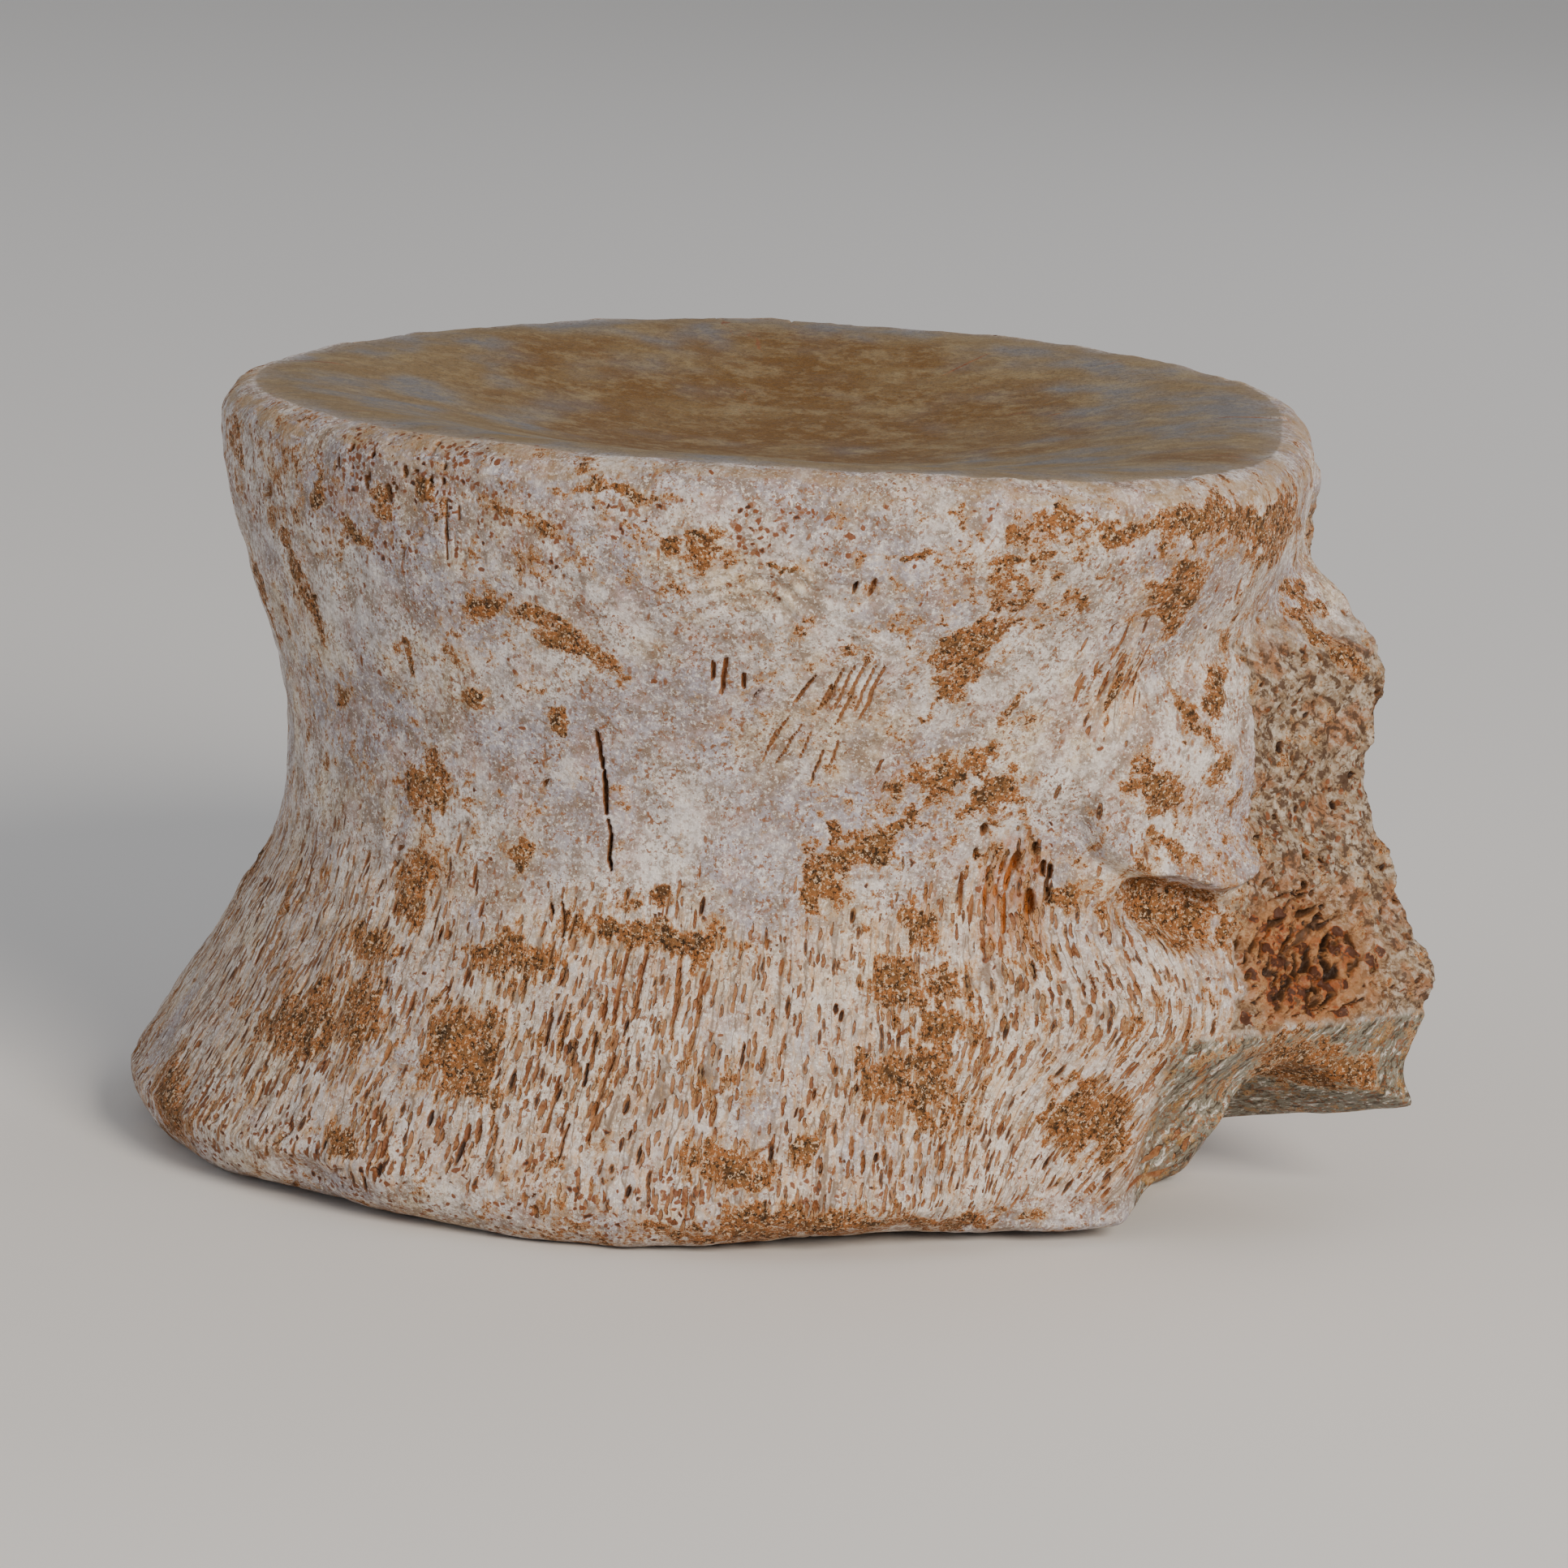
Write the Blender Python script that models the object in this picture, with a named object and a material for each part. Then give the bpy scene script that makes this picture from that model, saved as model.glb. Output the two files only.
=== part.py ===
"""Fossil plesiosaur vertebra: a back vertebra's centrum with the broken stumps of its neural arch.

The bone stands on its lower articular face. +Z runs along the axis of the body, +X is dorsal,
towards the lost neural arch, and the side at -Y is called near, the one at +Y far.
"""
import bmesh
import bpy
import numpy as np

MM = 0.001

# the body's axis lies this far from the middle of the bone's length, where the origin is
AXIS_X = -2.70

# upper articular face, a flat-backed oval that is squarer on the near side; its rim is a little
# higher on the far side and lower at its dorsal end, and saddle-shaped
TOP_HEIGHT = 57.8
TOP_VENTRAL = 42.4
TOP_DORSAL = 41.6
TOP_SIDE = 45.0
TOP_VENTRAL_POWER = 1.85
TOP_DORSAL_POWER = 2.75
TOP_DORSAL_SKEW = 0.45
RIM_TILT = 0.3
RIM_DROP = 0.2
RIM_SADDLE = 0.5
TOP_ROUND = 2.6
TOP_DISH_DEPTH = 4.5
TOP_DISH_SHARE = 0.93

# waist of the spool
WAIST_VENTRAL = 36.0
WAIST_DORSAL = 36.0
WAIST_SIDE = 38.5
WAIST_POWER = 2.2
WAIST_HIGH = 29.5
WAIST_LOW = 24.0
WAIST_SOFTNESS = 3.2

# lower articular face, which flares further out on the ventral side
LOW_CENTRE = -4.7
LOW_VENTRAL = 43.0
LOW_DORSAL = 42.0
LOW_SIDE = 44.0
LOW_POWER = 2.1
LOW_MARGIN = 37.0
LOW_MARGIN_SLOPE = 0.35
LOW_MARGIN_BLEND = 1.2
LOW_ROUND_WIDTH = 4.0
LOW_ROUND_VENTRAL = 0.4
LOW_ROUND_HEIGHT = 4.4
LOW_LAND = 4.5
LOW_DISH_DEPTH = 3.5
LOW_DISH_ROWS = 0.8
# worn places of the lower rim: angle, half width in degrees, how much wider the rounding is
LOW_WEAR = {"front": (-122, 14, 3.6), "near": (-62, 17, 9.0)}

# broken pedicles: reach of the break and of the outer side at heights above the floor, and height of
# the lower edge at angles about the axis
NEAR_STUMP = {
    "heights": (0, 8, 11, 15, 17.5, 20, 23, 26.5, 31, 37, 42, 46, 50, 56),
    "reach": (47, 49.0, 48.4, 49.6, 50.4, 49.7, 48.0, 47.2, 44.7, 45.2, 45.4, 42.0, 38.8, 37),
    "side": (37, 37, 37.2, 37.4, 37.5, 37.6, 37.6, 37.5, 38, 39, 38.8, 38, 37, 36),
    "break_angle": -40, "side_angle": -82, "canal_angle": 14, "outer_angle": 95,
    "low_angles": (-48, -43, -40, -37.8, -34.8, -31.5, -28, -24, -20, -14),
    "low": (0, 0.5, 2.4, 4.0, 6.0, 9.0, 10.9, 10.6, 8.4, 6.0), "low_edge": 1.6,
    "top": 46, "top_edge": 8,
}
FAR_STUMP = {
    "heights": (0, 10, 20, 30, 38, 46, 50, 54),
    "reach": (44, 46, 48, 47, 45, 43, 43.4, 42.8),
    "side": (37, 38, 38.5, 38.5, 40, 39, 38, 36),
    "break_angle": 30, "side_angle": 82, "canal_angle": 17, "outer_angle": 92,
    "low_angles": (10, 90), "low": (9, 9), "low_edge": 3,
    "top": 52, "top_edge": 3,
}
CREASE_POWER = 10
CANAL_EDGE = 5
OUTER_EDGE = 25
STUMP_BLEND = 1.5
LEAST_FACING = 0.02

# local forms on the wall: angle about the axis, height, half width and half height, tilt, rise
LOCAL_FORMS = {
    "near_break_hollow": (-28, 20.5, 5, 4.5, 20, -1.8),
    "near_upper_hollow": (-27, 38.5, 3.5, 5, 0, -0.9),
    "near_facet_slope": (-52, 35, 7, 6, -17, 0.9),
    "near_foramen": (-58.5, 27.5, 3.6, 4.5, 0, -1.1),
    "near_slope": (-64, 45, 7, 3.5, 45, -0.7),
    "near_shoulder": (-52, 47, 7, 3.5, 0, -0.8),
    "rim_chip": (-129, 2.8, 2.6, 1.3, 0, -1.2),
    "far_recess": (45, 24, 5, 2.5, 10, -1.4),
    "far_hollow": (27, 25, 5, 7, 0, -1.2),
}
# plateaus and hollows with one sharp side, which is the lower one before the tilt; the same measures
LIPPED_FORMS = {
    "near_facet": (-41.3, 33.75, 8.0, 7.0, -17, 1.9),
    "far_facet": (46, 33, 9, 7.5, 16, 1.5),
    "near_facet_recess": (-42.3, 25.1, 4.4, 2.4, 163, -2.2),
}
FORM_ARM = 43.0
LIP_POWER = 3
# hollow underside of the near stump: height of its upper edge at angles, depth, and the drop over
# which it deepens; it starts and ends at angles about the axis
UNDERSIDE = {
    "angles": (-48, -46.3, -45.5, -44, -40.5, -37, -34.5, -14),
    "heights": (2, 8, 10.4, 12.2, 13.8, 14.6, 15.7, 15.7),
    "depth": 3.2, "drop": 6.5, "start": -46.5, "full": -40, "fade": -27, "end": -18,
}

# thin cuts between the body and its stumps
GAP = 0.3
NEAR_CUT = {"angle": -12, "distance": 42.3, "low": 6.0, "top": 50.0, "half_width": 26}
FAR_CUT = {"angle": 26, "distance": 41.2, "low": 6.5, "top": 52.5, "half_width": 22}
CUT_DEPTH = 30.0

# surface grid: columns round the axis, and rows from the middle of the lower face to that of the upper
COLUMNS_NEAR = 66
COLUMNS_FAR = 46
ROWS_LOW_FACE = 5
ROWS_LOW_EDGE = 3
ROWS_WALL = 36
ROWS_TOP_EDGE = 3
ROWS_TOP_FACE = 7

COLOURS = {
    "centrum": (0.56, 0.49, 0.44),
    "near_pedicle": (0.50, 0.38, 0.30),
    "far_pedicle": (0.45, 0.33, 0.24),
}
BONE_ROUGHNESS = 0.72


def ease(low, high, value):
    """Smooth step from 0 at low to 1 at high."""
    t = np.clip((value - low) / (high - low), 0, 1)
    return t * t * (3 - 2 * t)


def soft_max(a, b, width):
    return 0.5 * (a + b + np.sqrt((a - b) ** 2 + width * width))


def curve_through(xs, ys, x):
    """Cubic curve through the listed values, with slopes from their neighbours."""
    xs, ys = np.asarray(xs, float), np.asarray(ys, float)
    slopes = np.gradient(ys, xs)
    i = np.clip(np.searchsorted(xs, x) - 1, 0, len(xs) - 2)
    step = xs[i + 1] - xs[i]
    t = np.clip((x - xs[i]) / step, 0, 1)
    return ((1 + 2 * t) * (1 - t) ** 2 * ys[i] + t * (1 - t) ** 2 * step * slopes[i]
            + t * t * (3 - 2 * t) * ys[i + 1] + t * t * (t - 1) * step * slopes[i + 1])


def curve_over(xs, ys, x):
    """The same curve, held level beyond its two ends."""
    return curve_through(xs, ys, np.clip(x, xs[0], xs[-1]))


def oval(angle, ventral, dorsal, side, ventral_power, dorsal_power):
    """Radius of an oval whose ventral and dorsal halves have their own length and squareness."""
    c, s = np.cos(angle), np.sin(angle)
    half = np.where(c < 0, ventral, dorsal)
    power = np.where(c < 0, ventral_power, dorsal_power)
    return ((np.abs(c) / half) ** power + (np.abs(s) / side) ** power) ** (-1 / power)


def stump_growth(angle, radius, height, stump, sign):
    """How far a broken pedicle stands out of the wall, as a block with an outer side and a break."""
    reach = curve_through(stump["heights"], stump["reach"], height)
    side = curve_through(stump["heights"], stump["side"], height)
    facing_break = np.maximum(np.cos(angle - np.radians(stump["break_angle"])), LEAST_FACING)
    facing_side = np.maximum(np.cos(angle - np.radians(stump["side_angle"])), LEAST_FACING)
    block = (facing_break / reach) ** CREASE_POWER + (facing_side / side) ** CREASE_POWER
    block = block ** (-1 / CREASE_POWER)
    turn = np.degrees(angle) * sign
    canal, outer = stump["canal_angle"], stump["outer_angle"]
    across = (ease(canal - CANAL_EDGE, canal + 0.4 * CANAL_EDGE, turn)
              * (1 - ease(outer - OUTER_EDGE, outer, turn)))
    low = curve_over(stump["low_angles"], stump["low"], np.degrees(angle))
    along = (ease(low - stump["low_edge"], low + stump["low_edge"], height)
             * (1 - ease(stump["top"], stump["top"] + stump["top_edge"], height)))
    return soft_max(block - radius, 0, STUMP_BLEND) * across * along


def local_axes(angle, height, form):
    """Distances along and across a local form, in units of its half sizes."""
    centre, middle, half_width, half_height, tilt, _ = form
    u = np.radians(np.degrees(angle) - centre) * FORM_ARM
    v = height - middle
    c, s = np.cos(np.radians(tilt)), np.sin(np.radians(tilt))
    return (c * u + s * v) / half_width, (c * v - s * u) / half_height


def lipped_form(angle, height, form):
    """A plateau or hollow that is soft above its middle and has a sharp lip below it."""
    u, v = local_axes(angle, height, form)
    distance = (np.abs(u) ** LIP_POWER + np.abs(v) ** LIP_POWER) ** (1 / LIP_POWER)
    soft = 1 - ease(0.3, 1.3, distance)
    sharp = 1 - ease(0.88, 1.02, distance)
    return form[5] * np.where(v < 0, soft + (sharp - soft) * ease(0, 0.7, -v), soft)


def underside_hollow(angle, height):
    """How far the near stump's underside is hollowed below its edge."""
    degrees = np.degrees(angle)
    edge = curve_over(UNDERSIDE["angles"], UNDERSIDE["heights"], degrees)
    across = (ease(UNDERSIDE["start"], UNDERSIDE["full"], degrees)
              * (1 - ease(UNDERSIDE["fade"], UNDERSIDE["end"], degrees)))
    return UNDERSIDE["depth"] * ease(0, UNDERSIDE["drop"], edge - height) * across


def low_rounding(angle):
    """Width of the lower rim's rounding, wider on the ventral side and where the rim is worn."""
    width = LOW_ROUND_WIDTH + LOW_ROUND_VENTRAL * np.clip(-np.cos(angle), 0, 1) ** 2
    degrees = np.degrees(np.arctan2(np.sin(angle), np.cos(angle)))
    for centre, half_width, more in LOW_WEAR.values():
        width = width + more * np.exp(-((degrees - centre) / half_width) ** 2)
    return width


def spool_wall(angle, row, low_radius, rim_height, top_radius):
    """Wall that swells above the waist and flares below it; the flare moves its centre ventrally."""
    waist_radius = oval(angle, WAIST_VENTRAL, WAIST_DORSAL, WAIST_SIDE, WAIST_POWER, WAIST_POWER)
    wall_top = rim_height - TOP_ROUND
    height = LOW_ROUND_HEIGHT + (wall_top - LOW_ROUND_HEIGHT) * np.clip(row - 2, 0, 1)
    swell = ease(WAIST_HIGH, wall_top, height)
    flare = (soft_max(WAIST_LOW - height, 0, WAIST_SOFTNESS)
             - soft_max(WAIST_LOW - wall_top, 0, WAIST_SOFTNESS))
    flare = np.clip(flare / (WAIST_LOW - LOW_ROUND_HEIGHT), 0, 1.05)
    radius = waist_radius + (top_radius - waist_radius) * swell + (low_radius - waist_radius) * flare
    centre = np.where(row <= 2, LOW_CENTRE, LOW_CENTRE * np.clip(flare, 0, 1) ** 1.2)
    return radius, height, centre


def lower_end(angle, row, low_radius, radius, height):
    """Rounded lower edge, and lower face, which rests on its rim and is hollow inside it."""
    low_round = low_rounding(angle)
    turn = np.clip(row - 1, 0, 1) * np.pi / 2
    radius = np.where(row < 2, low_radius - low_round * (1 - np.sin(turn)), radius)
    height = np.where(row < 2, LOW_ROUND_HEIGHT * (1 - np.cos(turn)), height)
    land = 1 - LOW_LAND / (low_radius - low_round)
    share = np.interp(row, (0, LOW_DISH_ROWS, 1), (0, 0, 1))
    share = land * np.clip(row / LOW_DISH_ROWS, 0, 1) + (1 - land) * share
    dish = LOW_DISH_DEPTH * (1 - np.clip(share / land, 0, 1) ** 2) ** 2
    radius = np.where(row < 1, (low_radius - low_round) * share, radius)
    height = np.where(row < 1, dish, height)
    return radius, height, share


def flat_margin(angle, row, radius, height, centre, share):
    """Radius cut back to the flattened dorsal margin of the lower end."""
    facing = np.maximum(np.cos(angle), 0.05)
    margin = (LOW_MARGIN + LOW_MARGIN_SLOPE * height - centre) / facing
    margin = np.where(np.cos(angle) > 0.05, margin, 1000.0)
    inner = np.where(row < 1, share, 1)
    trimmed = -soft_max(-radius, -margin * inner, LOW_MARGIN_BLEND * inner)
    return np.where(row < 3, trimmed, radius)


def upper_end(row, top_radius, rim_height, radius, height):
    """Rounded upper edge, and upper face, which is dished inside its rim."""
    turn = np.clip(row - 3, 0, 1) * np.pi / 2
    radius = np.where(row > 3, top_radius - TOP_ROUND * (1 - np.cos(turn)), radius)
    height = np.where(row > 3, rim_height - TOP_ROUND * (1 - np.sin(turn)), height)
    share = 1 - np.clip(row - 4, 0, 1)
    dish = TOP_DISH_DEPTH * (1 - np.clip(share / TOP_DISH_SHARE, 0, 1) ** 2) ** 1.5
    radius = np.where(row > 4, (top_radius - TOP_ROUND) * share, radius)
    height = np.where(row > 4, TOP_HEIGHT + (rim_height - TOP_HEIGHT) * share - dish, height)
    return radius, height


def wall_growth(turn, reach, height):
    """All that stands out of the wall or is hollowed into it, from the body's axis."""
    growth = (stump_growth(turn, reach, height, NEAR_STUMP, -1)
              + stump_growth(turn, reach, height, FAR_STUMP, 1))
    growth = growth - underside_hollow(turn, height)
    for form in LIPPED_FORMS.values():
        growth = growth + lipped_form(turn, height, form)
    for form in LOCAL_FORMS.values():
        u, v = local_axes(turn, height, form)
        growth = growth + form[5] * np.exp(-u * u - v * v)
    return growth


def bone_surface(angle, row):
    """Point of the whole bone at an angle round the axis and a place along its profile.

    row runs 0-1 over the lower face, 1-2 round its edge, 2-3 up the wall, 3-4 round the upper
    edge and 4-5 over the upper face.
    """
    low_radius = oval(angle, LOW_VENTRAL, LOW_DORSAL, LOW_SIDE, LOW_POWER, LOW_POWER)
    dorsal_power = TOP_DORSAL_POWER - TOP_DORSAL_SKEW * np.sin(angle)
    top_radius = oval(angle, TOP_VENTRAL, TOP_DORSAL, TOP_SIDE, TOP_VENTRAL_POWER, dorsal_power)
    rim_height = (TOP_HEIGHT + RIM_TILT * np.sin(angle) - RIM_DROP * np.cos(angle)
                  - RIM_SADDLE * np.cos(2 * angle))
    radius, height, centre = spool_wall(angle, row, low_radius, rim_height, top_radius)
    radius, height, share = lower_end(angle, row, low_radius, radius, height)
    radius = flat_margin(angle, row, radius, height, centre, share)
    radius, height = upper_end(row, top_radius, rim_height, radius, height)

    x, y = centre + radius * np.cos(angle), radius * np.sin(angle)
    turn = np.arctan2(y, x)
    growth = wall_growth(turn, np.hypot(x, y), height)
    growth = growth * ease(1, 1.6, row) * (1 - ease(2.95, 3.2, row))
    return AXIS_X + x + growth * np.cos(turn), y + growth * np.sin(turn), height


def column_angles():
    """Angles of the columns, closer together where the near stump and facet are."""
    near = np.radians(np.linspace(-85, 0, COLUMNS_NEAR, endpoint=False))
    rest = np.radians(np.linspace(0, 275, COLUMNS_FAR, endpoint=False))
    return np.concatenate([near, rest])


def profile_rows():
    counts = (ROWS_LOW_FACE, ROWS_LOW_EDGE, ROWS_WALL, ROWS_TOP_EDGE, ROWS_TOP_FACE)
    rows = [np.linspace(i, i + 1, count, endpoint=False) for i, count in enumerate(counts)]
    return np.concatenate(rows)[1:]


def make_bone(name, collection):
    """Close the grid of surface points with a point in the middle of each face."""
    angles, rows = np.meshgrid(column_angles(), profile_rows())
    x, y, z = bone_surface(angles, rows)
    mesh = bpy.data.meshes.new(name)
    bm = bmesh.new()
    lines = np.stack([x, y, z], -1) * MM
    grid = [[bm.verts.new(place) for place in line] for line in lines]
    bottom = bm.verts.new(((AXIS_X + LOW_CENTRE) * MM, 0, LOW_DISH_DEPTH * MM))
    top = bm.verts.new((AXIS_X * MM, 0, (TOP_HEIGHT - TOP_DISH_DEPTH) * MM))
    count = len(grid[0])
    for j in range(count):
        k = (j + 1) % count
        bm.faces.new((bottom, grid[0][k], grid[0][j]))
        bm.faces.new((top, grid[-1][j], grid[-1][k]))
        for lower, upper in zip(grid, grid[1:]):
            bm.faces.new((lower[j], lower[k], upper[k], upper[j]))
    bmesh.ops.triangulate(bm, faces=bm.faces)
    bm.to_mesh(mesh)
    bm.free()
    bone = bpy.data.objects.new(name, mesh)
    collection.objects.link(bone)
    return bone


def make_cutter(name, cut, clearance, collection):
    """Box beyond a plane that faces a stump; clearance widens it on every side."""
    bm = bmesh.new()
    bmesh.ops.create_cube(bm, size=1)
    mesh = bpy.data.meshes.new(name)
    bm.to_mesh(mesh)
    bm.free()
    cutter = bpy.data.objects.new(name, mesh)
    collection.objects.link(cutter)
    angle = np.radians(cut["angle"])
    middle = cut["distance"] + CUT_DEPTH / 2
    cutter.location = ((AXIS_X + middle * np.cos(angle)) * MM, middle * np.sin(angle) * MM,
                       (cut["low"] + cut["top"]) / 2 * MM)
    cutter.rotation_euler = (0, 0, angle)
    cutter.scale = ((CUT_DEPTH + 2 * clearance) * MM, 2 * (cut["half_width"] + clearance) * MM,
                    (cut["top"] - cut["low"] + 2 * clearance) * MM)
    cutter.hide_render = True
    cutter.display_type = "WIRE"
    return cutter


def cut_with(bone, cutter, operation):
    modifier = bone.modifiers.new(cutter.name, "BOOLEAN")
    modifier.operation = operation
    modifier.solver = "EXACT"
    modifier.object = cutter


def keep_largest_surface(bone):
    """Apply the cuts and keep the largest closed surface they leave."""
    depsgraph = bpy.context.evaluated_depsgraph_get()
    mesh = bpy.data.meshes.new_from_object(bone.evaluated_get(depsgraph))
    bone.modifiers.clear()
    bone.data = mesh
    bm = bmesh.new()
    bm.from_mesh(mesh)
    left, largest = set(bm.verts), []
    while left:
        island, edge = [], [left.pop()]
        while edge:
            vert = edge.pop()
            island.append(vert)
            for link in vert.link_edges:
                other = link.other_vert(vert)
                if other in left:
                    left.remove(other)
                    edge.append(other)
        if len(island) > len(largest):
            largest = island
    keep = set(largest)
    bmesh.ops.delete(bm, geom=[vert for vert in bm.verts if vert not in keep], context="VERTS")
    bmesh.ops.triangulate(bm, faces=bm.faces)
    bm.to_mesh(mesh)
    bm.free()


def paint(bone, colour):
    material = bpy.data.materials.new(bone.name + "_bone")
    material.use_nodes = True
    shader = material.node_tree.nodes["Principled BSDF"]
    shader.inputs["Base Color"].default_value = (*colour, 1)
    shader.inputs["Roughness"].default_value = BONE_ROUGHNESS
    shader.inputs["Metallic"].default_value = 0
    bone.data.materials.clear()
    bone.data.materials.append(material)
    bone.data.shade_smooth()


def new_collection(name):
    collection = bpy.data.collections.new(name)
    bpy.context.scene.collection.children.link(collection)
    return collection


def main():
    for old in list(bpy.data.objects):
        bpy.data.objects.remove(old, do_unlink=True)
    parts = new_collection("fossil_plesiosaur_vertebra")
    cutters = new_collection("cutters")

    centrum = make_bone("centrum", parts)
    near_pedicle = make_bone("near_pedicle", parts)
    far_pedicle = make_bone("far_pedicle", parts)
    cut_with(centrum, make_cutter("near_space", NEAR_CUT, GAP, cutters), "DIFFERENCE")
    cut_with(centrum, make_cutter("far_space", FAR_CUT, GAP, cutters), "DIFFERENCE")
    cut_with(near_pedicle, make_cutter("near_block", NEAR_CUT, 0, cutters), "INTERSECT")
    cut_with(far_pedicle, make_cutter("far_block", FAR_CUT, 0, cutters), "INTERSECT")
    bpy.context.view_layer.update()
    for bone in (centrum, near_pedicle, far_pedicle):
        keep_largest_surface(bone)
        paint(bone, COLOURS[bone.name])


main()
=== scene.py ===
import bpy
import numpy as np
from mathutils import Matrix, Vector


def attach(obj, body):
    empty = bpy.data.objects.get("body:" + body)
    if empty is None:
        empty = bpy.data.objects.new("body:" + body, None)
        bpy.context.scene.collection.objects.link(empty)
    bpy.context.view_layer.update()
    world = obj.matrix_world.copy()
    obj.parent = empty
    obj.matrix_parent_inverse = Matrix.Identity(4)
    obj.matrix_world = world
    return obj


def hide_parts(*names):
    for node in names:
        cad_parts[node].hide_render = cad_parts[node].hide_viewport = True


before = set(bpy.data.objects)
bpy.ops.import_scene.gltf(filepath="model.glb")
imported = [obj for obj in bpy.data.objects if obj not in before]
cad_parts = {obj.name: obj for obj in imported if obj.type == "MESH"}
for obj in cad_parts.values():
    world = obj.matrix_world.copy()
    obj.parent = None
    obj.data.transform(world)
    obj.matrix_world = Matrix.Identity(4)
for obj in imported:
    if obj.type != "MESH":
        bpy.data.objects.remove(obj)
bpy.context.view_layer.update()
print("frame loaded with nodes", sorted(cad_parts))

mm = 0.001
coarse = 1


# shape of the bone, in millimetres, as its solids have it

body = {
    "axisX": -2.70,  # the body's axis lies this far from the middle of the bone's length
    "topHeight": 57.8, "topVentral": 42.4, "topDorsal": 41.6, "topSide": 45.0, "topRound": 2.6,
    "topVentralPower": 1.85, "topDorsalPower": 2.75, "topDorsalSkew": 0.45,
    "topDishDepth": 4.5, "topDishShare": 0.93, "topDishPower": 1.5,
    "rimTilt": 0.3, "rimDrop": 0.2, "rimSaddle": 0.5,  # upper rim: far side up, dorsal end down, ends down
    "waistVentral": 36.0, "waistDorsal": 36.0, "waistSide": 38.5, "waistPower": 2.2,
    "waistHigh": 29.5, "waistLow": 24.0, "waistSoftness": 3.2, "flareMost": 1.05,
    "lowCentre": -4.7, "lowCentrePower": 1.2,  # the flare's middle moves towards the belly side as it widens
    "lowVentral": 43.0, "lowDorsal": 42.0, "lowSide": 44.0, "lowPower": 2.1,
    "lowMargin": 37.0, "lowMarginSlope": 0.35, "lowMarginBlend": 1.2,  # flattened dorsal margin
    "lowRoundWidth": 4.0, "lowRoundVentral": 0.4, "lowRoundHeight": 4.4,
    "lowWear": ((-122, 14, 3.6), (-62, 17, 9.0)),  # worn places: angle, half width, more rounding
    "lowLand": 4.5, "lowDishDepth": 3.5, "lowDishRows": 0.8,
    "growthRows": (1, 1.6, 2.95, 3.2),  # rows where growth out of the wall starts, is full, fades, ends
}
# broken pedicles: reach of the break and of the outer side at heights above the floor, and the height of the
# lower edge at angles
nearStump = {
    "heights": (0, 8, 11, 15, 17.5, 20, 23, 26.5, 31, 37, 42, 46, 50, 56),
    "reach": (47, 49.0, 48.4, 49.6, 50.4, 49.7, 48.0, 47.2, 44.7, 45.2, 45.4, 42.0, 38.8, 37),
    "side": (37, 37, 37.2, 37.4, 37.5, 37.6, 37.6, 37.5, 38, 39, 38.8, 38, 37, 36),
    "breakAngle": -40, "sideAngle": -82, "canal": 14, "outer": 95, "lowEdge": 1.6, "top": 46, "topEdge": 8,
    "lowTurns": (-48, -43, -40, -37.8, -34.8, -31.5, -28, -24, -20, -14),
    "low": (0, 0.5, 2.4, 4.0, 6.0, 9.0, 10.9, 10.6, 8.4, 6.0),
}
farStump = {
    "heights": (0, 10, 20, 30, 38, 46, 50, 54),
    "reach": (44, 46, 48, 47, 45, 43, 43.4, 42.8),
    "side": (37, 38, 38.5, 38.5, 40, 39, 38, 36),
    "breakAngle": 30, "sideAngle": 82, "canal": 17, "outer": 92, "lowEdge": 3, "top": 52, "topEdge": 3,
    "lowTurns": (10, 90), "low": (9, 9),
}
stumpEdges = {"creasePower": 10, "canalStart": 5, "canalFull": 2, "outerEdge": 25, "blend": 1.5}
leastFacing = {"stump": 0.02, "margin": 0.05}  # least cosine that divides a reach
noMargin = 1000.0
# local forms: angle about the axis, height, half width and half height, tilt, rise
localForms = (
    (-28, 20.5, 5, 4.5, 20, -1.8),
    (-27, 38.5, 3.5, 5, 0, -0.9),
    (-52, 35, 7, 6, -17, 0.9),
    (-58.5, 27.5, 3.6, 4.5, 0, -1.1),
    (-64, 45, 7, 3.5, 45, -0.7),
    (-52, 47, 7, 3.5, 0, -0.8),
    (-129, 2.8, 2.6, 1.3, 0, -1.2),
    (45, 24, 5, 2.5, 10, -1.4),
    (27, 25, 5, 7, 0, -1.2),
)
# plateaus and hollows with one sharp side, which is the lower one before the tilt
ledges = {
    "nearFacet": (-41.3, 33.75, 8.0, 7.0, -17, 1.9), "farFacet": (46, 33, 9, 7.5, 16, 1.5),
    "lipHollow": (-42.3, 25.1, 4.4, 2.4, 163, -2.2),
}
# how square a ledge is, and where its soft side, its sharp side and the change between them ease
ledgeEdges = {"power": 3, "soft": (0.3, 1.3), "sharp": (0.88, 1.02), "change": (0, 0.7)}
# hollow underside of the near stump's flange: height of its upper edge at angles, depth, the drop over which it
# deepens, and the angles where it starts, is full, fades and ends
underside = {
    "turns": (-48, -46.3, -45.5, -44, -40.5, -37, -34.5, -14),
    "heights": (2, 8, 10.4, 12.2, 13.8, 14.6, 15.7, 15.7),
    "depth": 3.2, "drop": 6.5, "across": (-46.5, -40, -27, -18),
}
formArm = 43.0  # radius at which angles become widths


def ease(low, high, value):
    # smooth step from 0 at low to 1 at high, which may be the lower of the two
    t = np.clip((value - low) / (high - low), 0, 1)
    return t * t * (3 - 2 * t)


def between(start, full, fading, end, value):
    # 1 from full to fading, easing to 0 at start and at end
    return ease(start, full, value) * (1 - ease(fading, end, value))


def softMax(a, b, width):
    # larger of two values, rounded over the given width where they cross
    return 0.5 * (a + b + np.sqrt((a - b) ** 2 + width * width))


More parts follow.
